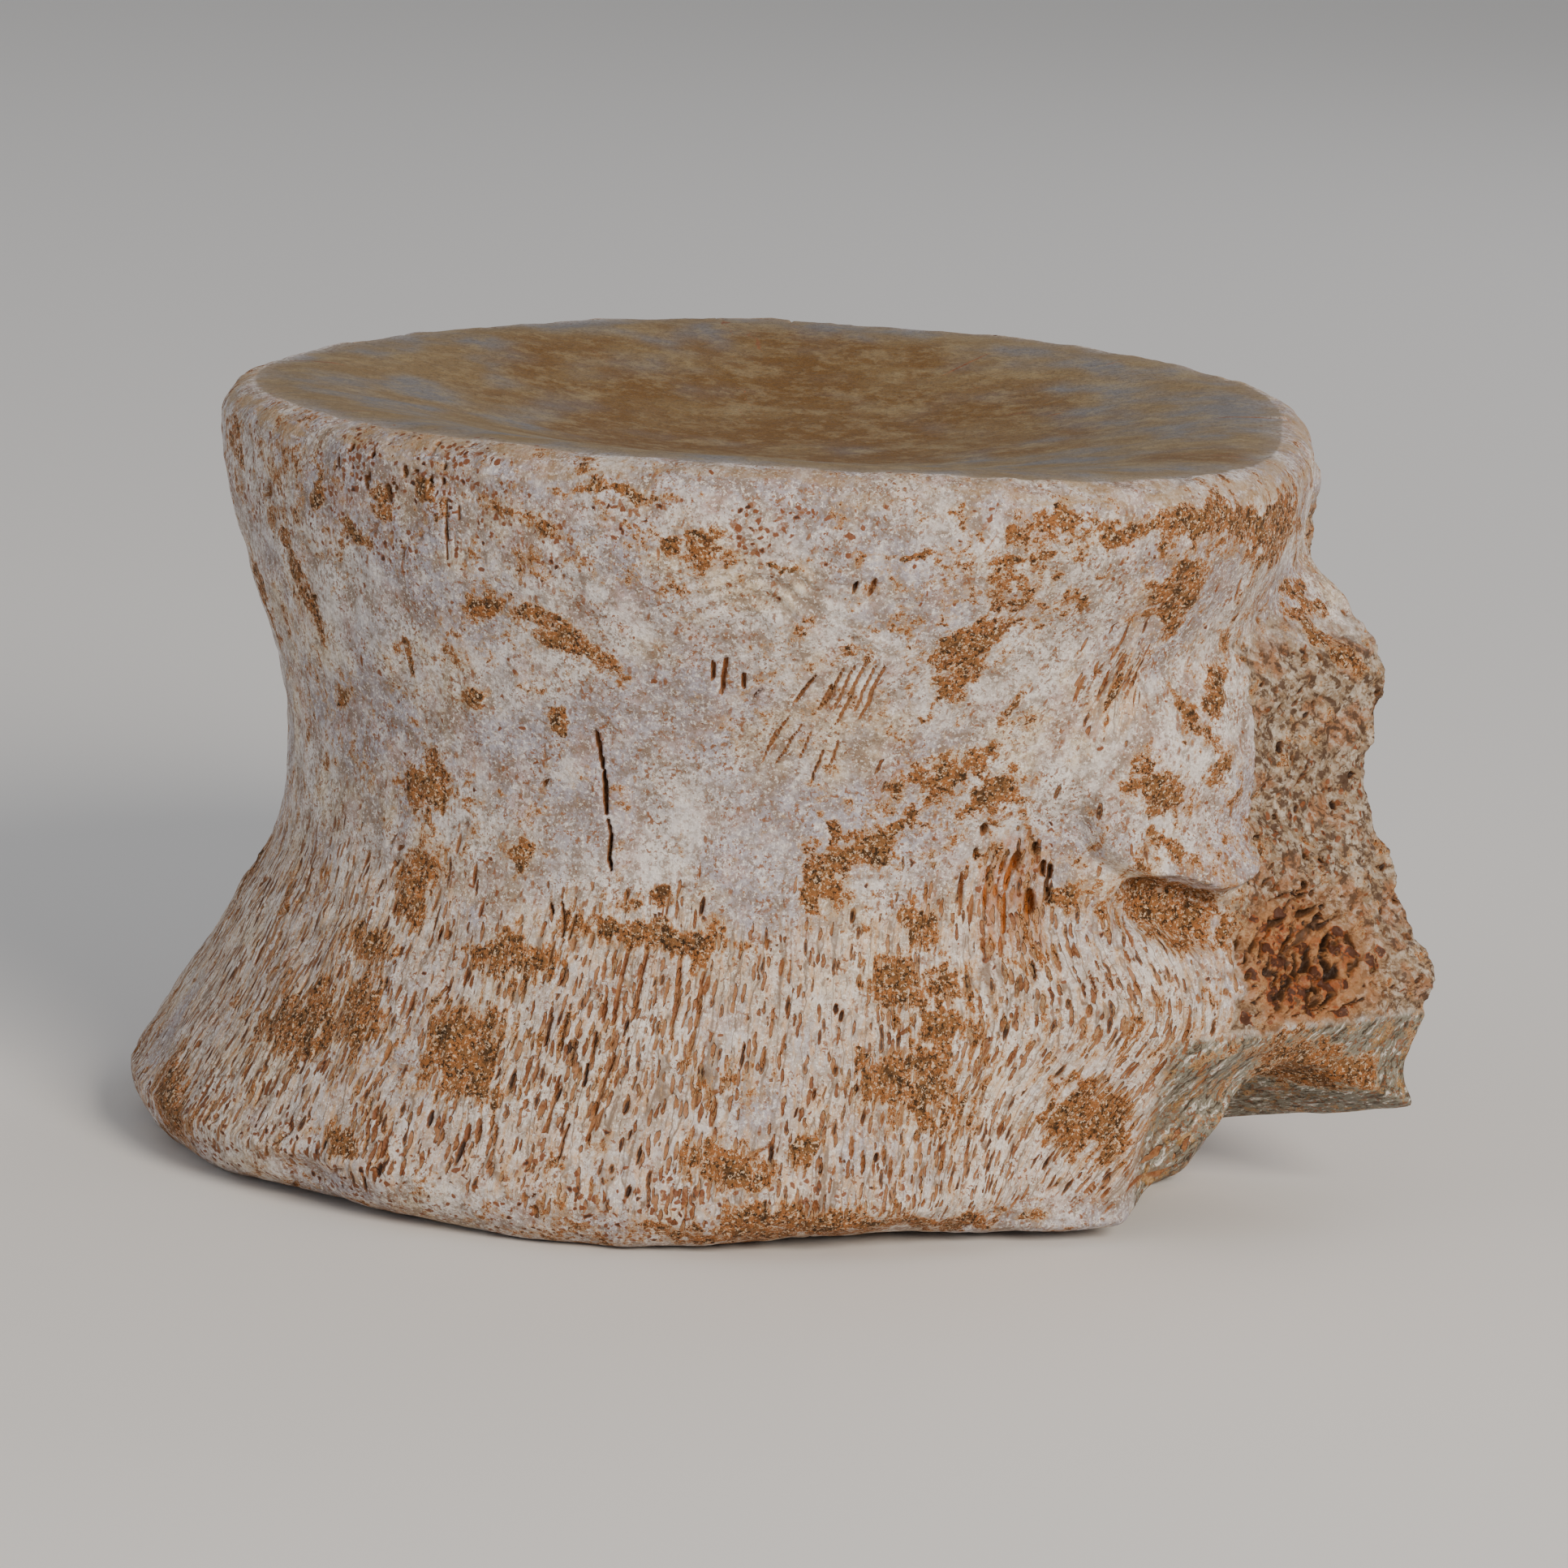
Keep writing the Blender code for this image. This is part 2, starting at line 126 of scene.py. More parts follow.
def curveThrough(xs, ys, x):
    # cubic curve through the listed values, with slopes from their neighbours; level outside them
    xs, ys = np.asarray(xs, float), np.asarray(ys, float)
    slopes = np.gradient(ys, xs)
    i = np.clip(np.searchsorted(xs, x) - 1, 0, len(xs) - 2)
    step = xs[i + 1] - xs[i]
    t = np.clip((x - xs[i]) / step, 0, 1)
    return ((1 + 2 * t) * (1 - t) ** 2 * ys[i] + t * (1 - t) ** 2 * step * slopes[i]
            + t * t * (3 - 2 * t) * ys[i + 1] + t * t * (t - 1) * step * slopes[i + 1])


def oval(angle, ventral, dorsal, side, ventralPower, dorsalPower):
    # radius of a superellipse whose ventral and dorsal halves have their own length and squareness
    c, s = np.cos(angle), np.sin(angle)
    half = np.where(c < 0, ventral, dorsal)
    power = np.where(c < 0, ventralPower, dorsalPower)
    return ((np.abs(c) / half) ** power + (np.abs(s) / side) ** power) ** (-1 / power)


def stumpGrowth(angle, radius, height, stump, sign):
    # a block of two planes, the break and the outer side, joined by a high power, less the wall's own radius
    reach = curveThrough(stump["heights"], stump["reach"], height)
    side = curveThrough(stump["heights"], stump["side"], height)
    facingBreak = np.maximum(np.cos(angle - np.radians(stump["breakAngle"])), leastFacing["stump"])
    facingSide = np.maximum(np.cos(angle - np.radians(stump["sideAngle"])), leastFacing["stump"])
    power = stumpEdges["creasePower"]
    block = ((facingBreak / reach) ** power + (facingSide / side) ** power) ** (-1 / power)
    canal, outer = stump["canal"], stump["outer"]
    across = between(canal - stumpEdges["canalStart"], canal + stumpEdges["canalFull"],
                     outer - stumpEdges["outerEdge"], outer, np.degrees(angle) * sign)
    low = curveThrough(stump["lowTurns"], stump["low"], np.degrees(angle))
    edge, top = stump["lowEdge"], stump["top"]
    along = between(low - edge, low + edge, top, top + stump["topEdge"], height)
    return softMax(block - radius, 0, stumpEdges["blend"]) * across * along


def formAxes(turn, height, centre, middle, halfWidth, halfHeight, tilt):
    # distances along and across a form on the wall, in units of its half sizes, after turning by its tilt
    u, v = np.radians(turn - centre) * formArm, height - middle
    c, s = np.cos(np.radians(tilt)), np.sin(np.radians(tilt))
    return (c * u + s * v) / halfWidth, (c * v - s * u) / halfHeight


def ledge(turn, height, form):
    # a plateau or hollow, soft above its middle and with a sharp lip below it
    u, v = formAxes(turn, height, *form[:5])
    power = ledgeEdges["power"]
    distance = (np.abs(u) ** power + np.abs(v) ** power) ** (1 / power)
    soft = 1 - ease(*ledgeEdges["soft"], distance)
    sharp = 1 - ease(*ledgeEdges["sharp"], distance)
    return form[5] * np.where(v < 0, soft + (sharp - soft) * ease(*ledgeEdges["change"], -v), soft)


def boneSurface(angle, row):
    # point of the bone at an angle round the axis and a place on its profile: row 0-1 lower face, 1-2 its edge,
    # 2-3 the spool-shaped wall, 3-4 the upper edge, 4-5 the upper face; returns x, y and z in millimetres
    b = body
    c, s = np.cos(angle), np.sin(angle)
    lowRadius = oval(angle, b["lowVentral"], b["lowDorsal"], b["lowSide"], b["lowPower"], b["lowPower"])
    waistPower = b["waistPower"]
    waistRadius = oval(angle, b["waistVentral"], b["waistDorsal"], b["waistSide"], waistPower, waistPower)
    dorsalPower = b["topDorsalPower"] - b["topDorsalSkew"] * s
    topRadius = oval(angle, b["topVentral"], b["topDorsal"], b["topSide"], b["topVentralPower"], dorsalPower)
    lowRound = b["lowRoundWidth"] + b["lowRoundVentral"] * np.clip(-c, 0, 1) ** 2
    for centre, halfWidth, more in b["lowWear"]:
        lowRound = lowRound + more * np.exp(-((np.degrees(np.arctan2(s, c)) - centre) / halfWidth) ** 2)
    top = b["topHeight"] + b["rimTilt"] * s - b["rimDrop"] * c - b["rimSaddle"] * np.cos(2 * angle)
    wallTop = top - b["topRound"]

    height = b["lowRoundHeight"] + (wallTop - b["lowRoundHeight"]) * np.clip(row - 2, 0, 1)
    swell = ease(b["waistHigh"], wallTop, height)
    flare = (softMax(b["waistLow"] - height, 0, b["waistSoftness"])
             - softMax(b["waistLow"] - wallTop, 0, b["waistSoftness"]))
    flare = np.clip(flare / (b["waistLow"] - b["lowRoundHeight"]), 0, b["flareMost"])
    radius = waistRadius + (topRadius - waistRadius) * swell + (lowRadius - waistRadius) * flare
    centre = b["lowCentre"] * np.where(row <= 2, 1, np.clip(flare, 0, 1) ** b["lowCentrePower"])

    # lower edge and lower face, which rests on its rim
    turn = np.clip(row - 1, 0, 1) * np.pi / 2
    radius = np.where(row < 2, lowRadius - lowRound * (1 - np.sin(turn)), radius)
    height = np.where(row < 2, b["lowRoundHeight"] * (1 - np.cos(turn)), height)
    land = 1 - b["lowLand"] / (lowRadius - lowRound)
    share = np.interp(row, (0, b["lowDishRows"], 1), (0, 0, 1))
    share = land * np.clip(row / b["lowDishRows"], 0, 1) + (1 - land) * share
    dish = b["lowDishDepth"] * (1 - np.clip(share / land, 0, 1) ** 2) ** 2
    radius = np.where(row < 1, (lowRadius - lowRound) * share, radius)
    height = np.where(row < 1, dish, height)

    # flattened dorsal margin of the lower face
    facing = leastFacing["margin"]
    margin = (b["lowMargin"] + b["lowMarginSlope"] * height - centre) / np.maximum(c, facing)
    margin = np.where(c > facing, margin, noMargin)
    scale = np.where(row < 1, share, 1)
    trimmed = -softMax(-radius, -margin * scale, b["lowMarginBlend"] * scale)
    radius = np.where(row < 3, trimmed, radius)

    # upper edge and upper face
    turn = np.clip(row - 3, 0, 1) * np.pi / 2
    radius = np.where(row > 3, topRadius - b["topRound"] * (1 - np.cos(turn)), radius)
    height = np.where(row > 3, top - b["topRound"] * (1 - np.sin(turn)), height)
    share = 1 - np.clip(row - 4, 0, 1)
    dish = b["topDishDepth"] * (1 - np.clip(share / b["topDishShare"], 0, 1) ** 2) ** b["topDishPower"]
    radius = np.where(row > 4, (topRadius - b["topRound"]) * share, radius)
    height = np.where(row > 4, b["topHeight"] + (top - b["topHeight"]) * share - dish, height)

    # what stands out of the wall is measured from the axis of the body
    x, y = centre + radius * c, radius * s
    turn, reach = np.arctan2(y, x), np.hypot(x, y)
    growth = stumpGrowth(turn, reach, height, nearStump, -1) + stumpGrowth(turn, reach, height, farStump, 1)
    degrees = np.degrees(turn)
    for form in ledges.values():
        growth = growth + ledge(degrees, height, form)
    for form in localForms:
        u, v = formAxes(degrees, height, *form[:5])
        growth = growth + form[5] * np.exp(-u * u - v * v)
    drop = curveThrough(underside["turns"], underside["heights"], degrees) - height
    scoop = ease(0, underside["drop"], drop) * between(*underside["across"], degrees)
    growth = growth - underside["depth"] * scoop
    growth = growth * between(*b["growthRows"], row)
    return np.stack([b["axisX"] + x + growth * np.cos(turn), y + growth * np.sin(turn), height], -1)


# patterns on the bone

dice = np.random.default_rng(11).random((256, 256, 8)).astype(np.float32)
lattice = np.random.default_rng(5).random((64, 64, 64)).astype(np.float32)
latticeTurn = ((0.36, 0.48, -0.80), (-0.80, 0.60, 0.0), (0.48, 0.64, 0.60))  # turns the cubes askew
latticeShift = (1, 1.7, 2.3)


def smoothNoise(points, size, shift=0):
    # random values at the corners of turned cubes of the given size in mm, blended by smooth steps; 0 to 1
    x, y, z = points[..., 0] / size, points[..., 1] / size, points[..., 2] / size
    p = [a * x + b * y + c * z + s * shift for (a, b, c), s in zip(latticeTurn, latticeShift)]
    whole = [np.floor(q).astype(np.int32) for q in p]
    f = [(q - w).astype(np.float32) for q, w in zip(p, whole)]
    f = [t * t * (3 - 2 * t) for t in f]
    last = len(lattice) - 1
    i, j, k = [w & last for w in whole]
    i1, j1, k1 = [(w + 1) & last for w in whole]
    low, high = [(lattice[i, j, m] * (1 - f[0]) + lattice[i1, j, m] * f[0]) * (1 - f[1])
                 + (lattice[i, j1, m] * (1 - f[0]) + lattice[i1, j1, m] * f[0]) * f[1] for m in (k, k1)]
    return low * (1 - f[2]) + high * f[2]


noiseLayers = {"weight": 0.6, "contrast": 1.6, "shift": 7.3}


def layeredNoise(points, size, layers, shift=0):
    # smooth noise at the given size and at halves of it, each layer weaker than the last; about 0 to 1
    weights = noiseLayers["weight"] ** np.arange(layers)
    total = sum(weight * smoothNoise(points, size / 2 ** n, shift + noiseLayers["shift"] * n)
                for n, weight in enumerate(weights))
    return 0.5 + (total / weights.sum() - 0.5) * noiseLayers["contrast"]


# openings in the bone, in mm: cell of the grid across and along the fibres, half width and length, jitter in
# the cell, depth, where in the random table they start, the share of them that are dark inside as painted
# shade, and three fields: the ones they follow across and along, and the one that tells how many there are
openings = {
    "axial": {"step": 0.74, "rise": 2.4, "halfWidth": 0.21, "halfLength": 0.95, "jitter": 0.85, "depth": 0.34,
              "seed": 1, "gloom": 0.3, "follows": ("wavy", "height", "axialShare")},
    "big": {"step": 1.5, "rise": 1.5, "halfWidth": 0.27, "halfLength": 0.30, "jitter": 0.95, "depth": 0.7,
            "seed": 4, "gloom": 0.55, "follows": ("turn", "along", "bigShare")},
    "sponge": {"step": 1.1, "rise": 1.9, "halfWidth": 0.36, "halfLength": 0.80, "jitter": 1.0, "depth": 1.0,
               "seed": 5, "gloom": 0.6, "follows": ("slanted", "wobbly", "spongeShare")},
    "crumb": {"step": 0.95, "rise": 0.95, "halfWidth": 0.27, "halfLength": 0.28, "jitter": 1.0, "depth": 0.6,
              "seed": 6, "gloom": 0.6, "follows": ("jagged", "height", "crumbShare")},
}
# how the openings differ: lean, least width, length and depth and what chance adds to them, softness of the
# choice which are there and of the one which are dark, and from where to where an opening shallows
openingSpread = {"lean": 0.25, "width": (0.6, 0.8), "length": (0.4, 1.2), "depth": (0.5, 0.5), "choice": 0.04,
                 "gloomChoice": 0.05, "shallows": (0.35, 1.0)}


def scatteredPits(turn, height, density, pit):
    # one lens-shaped pit in each cell of a grid that closes round the bone, shifted, scaled, tilted and left
    # out at random; 1 in its middle and easing to 0 at its edge; also a number that tells the pits apart
    spread = openingSpread
    around = int(round(360 * formArm * np.pi / 180 / pit["step"]))
    last = len(dice) - 1
    u, v = turn / 360 * around, height / pit["rise"]
    i0, j0 = np.floor(u).astype(np.int32), np.floor(v).astype(np.int32)
    deepest, which = np.zeros_like(turn), np.zeros_like(turn)
    for di in (-1, 0, 1):
        for dj in (-1, 0, 1):
            i, j = i0 + di, j0 + dj
            cast = dice[(i % around + 37 * pit["seed"]) & last, (j + 91 * pit["seed"]) & last]
            aside, up, width, length, chance, depth, tilt, number = [cast[..., n] for n in range(8)]
            along = (v - j - 0.5 - (up - 0.5) * pit["jitter"]) * pit["rise"]
            across = (u - i - 0.5 - (aside - 0.5) * pit["jitter"]) * pit["step"]
            across = across + (tilt - 0.5) * spread["lean"] * along
            halfWidth = pit["halfWidth"] * (spread["width"][0] + spread["width"][1] * width)
            halfLength = pit["halfLength"] * (spread["length"][0] + spread["length"][1] * length)
            there = ease(chance - spread["choice"], chance + spread["choice"], density)
            deep = (1 - ease(*spread["shallows"], np.hypot(across / halfWidth, along / halfLength))) * there
            deep = deep * (spread["depth"][0] + spread["depth"][1] * depth)
            which = np.where(deep > deepest, number, which)
            deepest = np.maximum(deepest, deep)
    return deepest, which


def nearSegment(turn, height, slit):
    # 1 on the line between two places on the wall, easing to 0 at the half width, which tapers to both ends
    turn1, height1, turn2, height2, halfWidth = slit[:5]
    arm = formArm * np.pi / 180
    along = np.array([(turn2 - turn1) * arm, height2 - height1])
    length = max(np.hypot(*along), 1e-6)
    u, v = (turn - turn1) * arm, height - height1
    t = np.clip((u * along[0] + v * along[1]) / length ** 2, 0, 1)
    distance = np.hypot(u - t * along[0], v - t * along[1])
    taper = 0.5 + 0.5 * np.sqrt(4 * t * (1 - t) + 0.02)
    return 1 - ease(*openingSpread["shallows"], distance / (halfWidth * taper))


# open slits and holes: from angle and height to angle and height, half width, depth, and painted shade inside
slits = (
    (-102.7, 37.6, -102.2, 34.8, 0.25, 0.9, 0.8), (-102, 34.6, -101.8, 31.4, 0.27, 0.7, 0.5),
    (-101.7, 31, -101.1, 27.4, 0.22, 0.7, 0.6), (-118, 53.7, -118.2, 49.4, 0.13, 0.4, 0.6),
    (-116.6, 53.4, -116.7, 52.4, 0.12, 0.3, 0.4), (-98.6, 22.4, -99.6, 16.4, 0.2, 0.3, 0.2),
    (-96.6, 22.1, -97.4, 17, 0.19, 0.3, 0.2), (-93, 21.4, -93.3, 15.8, 0.23, 0.3, 0.1),
    (-90.6, 20.6, -91, 16.6, 0.2, 0.3, 0.3), (-106.4, 24.6, -106, 22.2, 0.19, 0.4, 0.5),
    (-107.6, 24.4, -107.4, 23.8, 0.2, 0.5, 0.7), (-104.9, 23.8, -105.3, 22, 0.14, 0.4, 0.6),
    (-105.8, 16.6, -106, 14.6, 0.2, 0.4, 0.3), (-104.2, 16.8, -104.4, 14.4, 0.23, 0.4, 0.2),
    (-103, 15, -103.2, 13.4, 0.2, 0.4, 0.3), (-101, 15.8, -101.1, 14.2, 0.2, 0.4, 0.6),
    (-101.5, 13.6, -101.7, 12, 0.19, 0.4, 0.7), (-102.6, 9.4, -103.1, 6.8, 0.17, 0.4, 0.5),
    (-99, 14.4, -100.6, 8.2, 0.2, 0.4, 0.3), (-104, 12.6, -104.8, 8.6, 0.16, 0.3, 0.4),
    (-90.5, 43.6, -90.5, 42.3, 0.2, 0.4, 0.4), (-89.4, 43.8, -89.6, 41.2, 0.21, 0.4, 0.3),
    (-87.5, 42.9, -87.5, 41.7, 0.2, 0.4, 0.5), (-74, 44.1, -76, 39.8, 0.15, 0.25, 0),
    (-75, 43.9, -76.6, 40.3, 0.14, 0.25, 0.1), (-76, 44.1, -78, 39.4, 0.14, 0.25, 0.1),
    (-77, 43.9, -78.5, 40.5, 0.13, 0.25, 0.1), (-78, 43.7, -79.5, 40.7, 0.14, 0.3, 0.2),
    (-80.5, 43, -82.4, 40.9, 0.17, 0.4, 0.6), (-79, 42.4, -80, 40.3, 0.14, 0.3, 0.4),
    (-79, 37.3, -80.2, 34.9, 0.12, 0.25, 0.5), (-81.5, 39.2, -84, 36, 0.11, 0.2, 0.5),
    (-84, 38.8, -85.5, 36, 0.11, 0.2, 0.5), (-80.5, 38.6, -81.6, 36.4, 0.11, 0.2, 0.4),
    (-83, 39.6, -84.6, 37.4, 0.11, 0.2, 0.4), (-77.6, 38, -78.6, 35.8, 0.11, 0.2, 0.4),
    (-76, 50.5, -76.2, 49.3, 0.18, 0.4, 0.5), (-77.6, 50.2, -77.7, 49.6, 0.2, 0.5, 0.8),
    (-50.5, 44.2, -51.2, 41.4, 0.14, 0.3, 0.1), (-53.4, 44.1, -53.2, 42.8, 0.14, 0.3, 0.3),
    (-48, 43.5, -49.2, 41.2, 0.13, 0.3, 0.1), (-51.8, 43.4, -52.4, 41, 0.15, 0.3, 0.2),
    (-37.6, 49.6, -37.4, 48, 0.34, 0.6, 0.4), (-28.2, 48.3, -27.8, 47.2, 0.34, 0.6, 0.5),
    (-57.5, 29.4, -57.6, 28.2, 0.36, 1, 0), (-56, 26.6, -56.1, 25.2, 0.42, 1, 0),
    (-56, 30.2, -56, 29.4, 0.28, 0.8, 1), (-55, 28.8, -55, 27.9, 0.28, 0.8, 0.7),
    (-62, 29.7, -62, 29.2, 0.26, 0.7, 1), (-61.5, 31.7, -61.4, 30.9, 0.34, 0.7, 0.5),
    (-54.5, 26.8, -54.5, 25.9, 0.24, 0.7, 0.8), (-58.5, 29.6, -59, 27.8, 0.16, 0.5, 0.7),
    (-54.4, 28.6, -54.4, 27.6, 0.22, 0.7, 0.9), (-60.2, 28.4, -60.4, 25.6, 0.24, 0.5, 0.2),
    (-63.2, 28, -63.4, 25, 0.22, 0.4, 0.3), (-58.4, 26.4, -58.6, 23.6, 0.22, 0.4, 0.3),
    (-25.5, 28.3, -25.4, 27.9, 0.34, 0.9, 1), (-24, 27.9, -23.9, 27.4, 0.3, 0.9, 1),
    (-26.7, 26, -26.4, 25.6, 0.3, 0.8, 0.9), (-25.4, 20.3, -25, 19.2, 0.42, 1, 0.9),
    (-27.4, 18.9, -27.2, 18.2, 0.3, 0.9, 1), (-22.2, 22, -22, 21.2, 0.3, 0.8, 0.8),
    (-29, 19.2, -27.6, 21, 0.3, 0.9, 0.7), (-30.6, 18.6, -29.2, 20.6, 0.28, 0.8, 0.5),
    (-27.2, 19.8, -26, 21.4, 0.26, 0.8, 0.7), (-31.8, 18, -30.8, 19.4, 0.26, 0.7, 0.4),
    (-28.6, 17.2, -27.8, 18.4, 0.24, 0.7, 0.5), (-133.5, 55.4, -133.3, 54.6, 0.3, 0.7, 0.4),
    (-126.2, 53.9, -125.6, 53, 0.46, 0.9, 0.5), (-129.2, 54.4, -129, 53.5, 0.3, 0.7, 0.4),
    (-123.6, 55.6, -123.4, 55, 0.32, 0.7, 0.5), (-120.2, 55.2, -120, 54.4, 0.26, 0.6, 0.5),
    (178, 28.4, 178, 26.6, 0.75, 1.6, 0.9), (-166, 28.8, -166.2, 27.2, 0.6, 1.4, 0.9),
)

# sediment that still clings to the wall: angle, height, half length, half width, tilt
sedimentPatches = (
    (-144, 45.2, 4, 1, -62), (-114.8, 46.5, 2, 1.4, 0), (-106.2, 44.8, 4.8, 1, -27),
    (-138.8, 36.9, 1.3, 1.3, 0), (-91.5, 52, 2.1, 1.2, 0), (-66.6, 45.4, 4.4, 1.2, 64),
    (-47.2, 49.4, 3, 2.4, 70), (-44, 54.5, 15, 1.5, -2), (-32, 53.4, 7, 2.5, 0), (-21.5, 46.9, 1.5, 1.2, 0),
    (-21.5, 43.5, 2.4, 0.9, -50), (-39, 41.3, 2, 0.8, 50), (-41.2, 39, 2.2, 0.7, -55),
    (-38.8, 35.4, 1.9, 1.4, -10), (-45.2, 34.3, 3, 1.7, -20), (-44.3, 30.4, 1.8, 0.6, -35),
    (-62, 34.3, 3, 1.4, 20), (-68, 34.9, 5.4, 1.5, 28), (-73.5, 30.7, 4.4, 1.5, 20), (-78, 26.8, 1.6, 1.6, 0),
    (-42, 25.6, 5.4, 2.7, -17), (-124.5, 31.3, 2.6, 2.2, 70), (-124.1, 24.9, 3.4, 2.6, 80),
    (-129.4, 19.6, 2.4, 1.3, 0), (-112.3, 20.4, 4, 0.8, 0), (-136.2, 13, 4.2, 2.5, 15),
    (-127.4, 15.3, 2, 2, 0), (-114.3, 13.2, 3.4, 2.9, 60), (-152.2, 5.1, 4.2, 2, -30), (-125, 5.9, 2, 1.1, 0),
    (-99.1, 25.3, 1, 1, 0), (-95.1, 25.8, 1.2, 1.3, 0), (-90.5, 22.1, 2.1, 1.5, 80),
    (-68.1, 24.1, 1.8, 1.5, 60), (-70.8, 20.4, 2.9, 1.9, 0), (-65.3, 20.4, 1.6, 1, 80),
    (-65.7, 17.2, 2.1, 1.3, -20), (-68.5, 12.8, 4.2, 2.6, -15), (-50.2, 10, 3.8, 2.5, -25),
    (-87.2, 6.8, 2.8, 1.8, 0), (-79.2, 8.3, 1.6, 1.1, 70), (-83.1, 3.1, 3.2, 1.4, 0),
    (-27.5, 12.6, 3.4, 2, -25), (-108.5, 53, 3.2, 0.7, -20), (-100, 55.6, 3.6, 0.5, 0),
    (-56.5, 48.9, 1.3, 0.6, 30), (-88, 2.2, 3.6, 1.4, 0), (-76, 2.6, 6, 1, 0), (-63, 2.4, 6, 0.9, 0),
    (-23, 11.4, 3.6, 1.8, -10), (-126.5, 52.4, 1.2, 0.9, 0), (-120, 53.8, 1.2, 0.9, 0),
    (-137.3, 51.9, 0.8, 1.9, 0), (-112, 28, 1.2, 1.6, 0), (-95, 22.6, 6, 1, 0), (-131, 49.9, 1.6, 0.6, -10),
    (-126, 41.8, 1, 1.5, 0), (-116.3, 39, 1.8, 0.9, 0), (-107.3, 38.6, 1.3, 0.8, 0), (-53, 26.9, 0.9, 1.5, 0),
    (-50.3, 41.6, 2.4, 0.6, 80), (-64, 52.6, 3, 0.4, 0), (-73, 52, 2, 0.4, 0), (-84, 50.8, 1.4, 0.4, 0),
    (-61, 40.8, 1.1, 0.5, 50),
    # far side, back and canal, which the photo doesn't show
    (62, 14, 4.6, 2.8, 15), (78, 27, 2.2, 3.4, 0), (96, 12, 3.6, 2.8, 40), (112, 24, 2.8, 3.4, -30),
    (71, 42, 4.8, 1.3, -55), (104, 45, 6, 1.5, 20), (134, 15, 4, 2.6, -20), (150, 30, 2.6, 3, 0),
    (160, 9, 3.8, 2.2, 10), (50, 48, 3.4, 2.4, 0), (86, 53, 4.4, 1.4, 0), (-170, 20, 3.4, 2.6, 30),
    (-160, 42, 2.2, 3.6, 10), (176, 46, 4, 1.8, -30), (2, 30, 5, 8, 0), (4, 52, 4, 3, 0), (42, 24, 4, 2, 8),
)

# broken faces of the pedicles: the angle of the crease at heights, and the edges, each from where to where it
# comes in and how ragged it is: the first from the crease, the last an angle, the foot and the top heights
breakFaces = (
    {"heights": (0, 13, 15, 21, 27, 33, 41, 47, 58), "turns": (-40, -39.5, -38, -37, -35.5, -33, -34, -36, -38),
     "first": (-0.4, 0.8, -2.4), "last": (-11, -15, 0), "foot": (15.2, 16.2, 0.9), "top": (46.5, 42, 3)},
    {"heights": (0, 58), "turns": (14, 14),
     "first": (-2, 2, 0), "last": (55, 52, 3), "foot": (11, 12.5, 2), "top": (52, 48, 0)},
)
# how the fibres lean towards the back: degrees a millimetre, the height they turn about, and the angles from
# the dorsal line and the heights where the lean starts, is full, fades and ends
leans = (
    (0.12, 20, (10, 50, 150, 178), (-9, -5, 90, 99)),
    (0.42, 38, (40, 60, 80, 100), (29, 38, 90, 99)),
    (0.85, 12, (36, 46, 48, 74), (-9, -5, 12, 24)),
)
fibreWave = {"size": 4.0, "shift": 19, "reach": 0.8, "share": 0.55}

# what the relief and the marks are made of: fields over the bone, most of them 0 to 1
# noises: size in mm, layers, and a shift that tells them apart
noises = {
    "ragged": (1.7, 3, 3), "soft": (6.0, 2, 9), "lumps": (2.6, 2, 15), "blotch": (6.0, 3, 31),
    "crowds": (3.0, 2, 87), "drifts": (3.0, 4, 71), "lace": (2.2, 4, 81), "spongy": (2.6, 5, 41),
    "sandy": (0.6, 2, 51), "clouds": (14.0, 3, 61),
}
# places: middle's angle, height field and height, half width and half height, and how flat each is
places = {
    "foramen": (-58, "height", 26, 3.4, 4.6, 4), "smoothPlate": (-91, "height", 33.5, 11, 5.5, 4),
    "arch": (-57, "height", 22, 15, 8, 2), "hatched": (-50.5, "height", 42.2, 3.2, 3.6, 2),
    "shoulder": (-48, "height", 47, 22, 6, 4), "wrinkled": (-87, "height", 48.8, 12, 3.6, 2),
    "cluster": (-124, "along", 55.6, 10, 2.8, 4), "rimGap": (-90, "along", 0, 26, 1e9, 4),
    "nearRed": (-28.5, "height", 20, 6, 4.2, 2), "farRed": (30, "height", 24, 7, 5, 2),
}
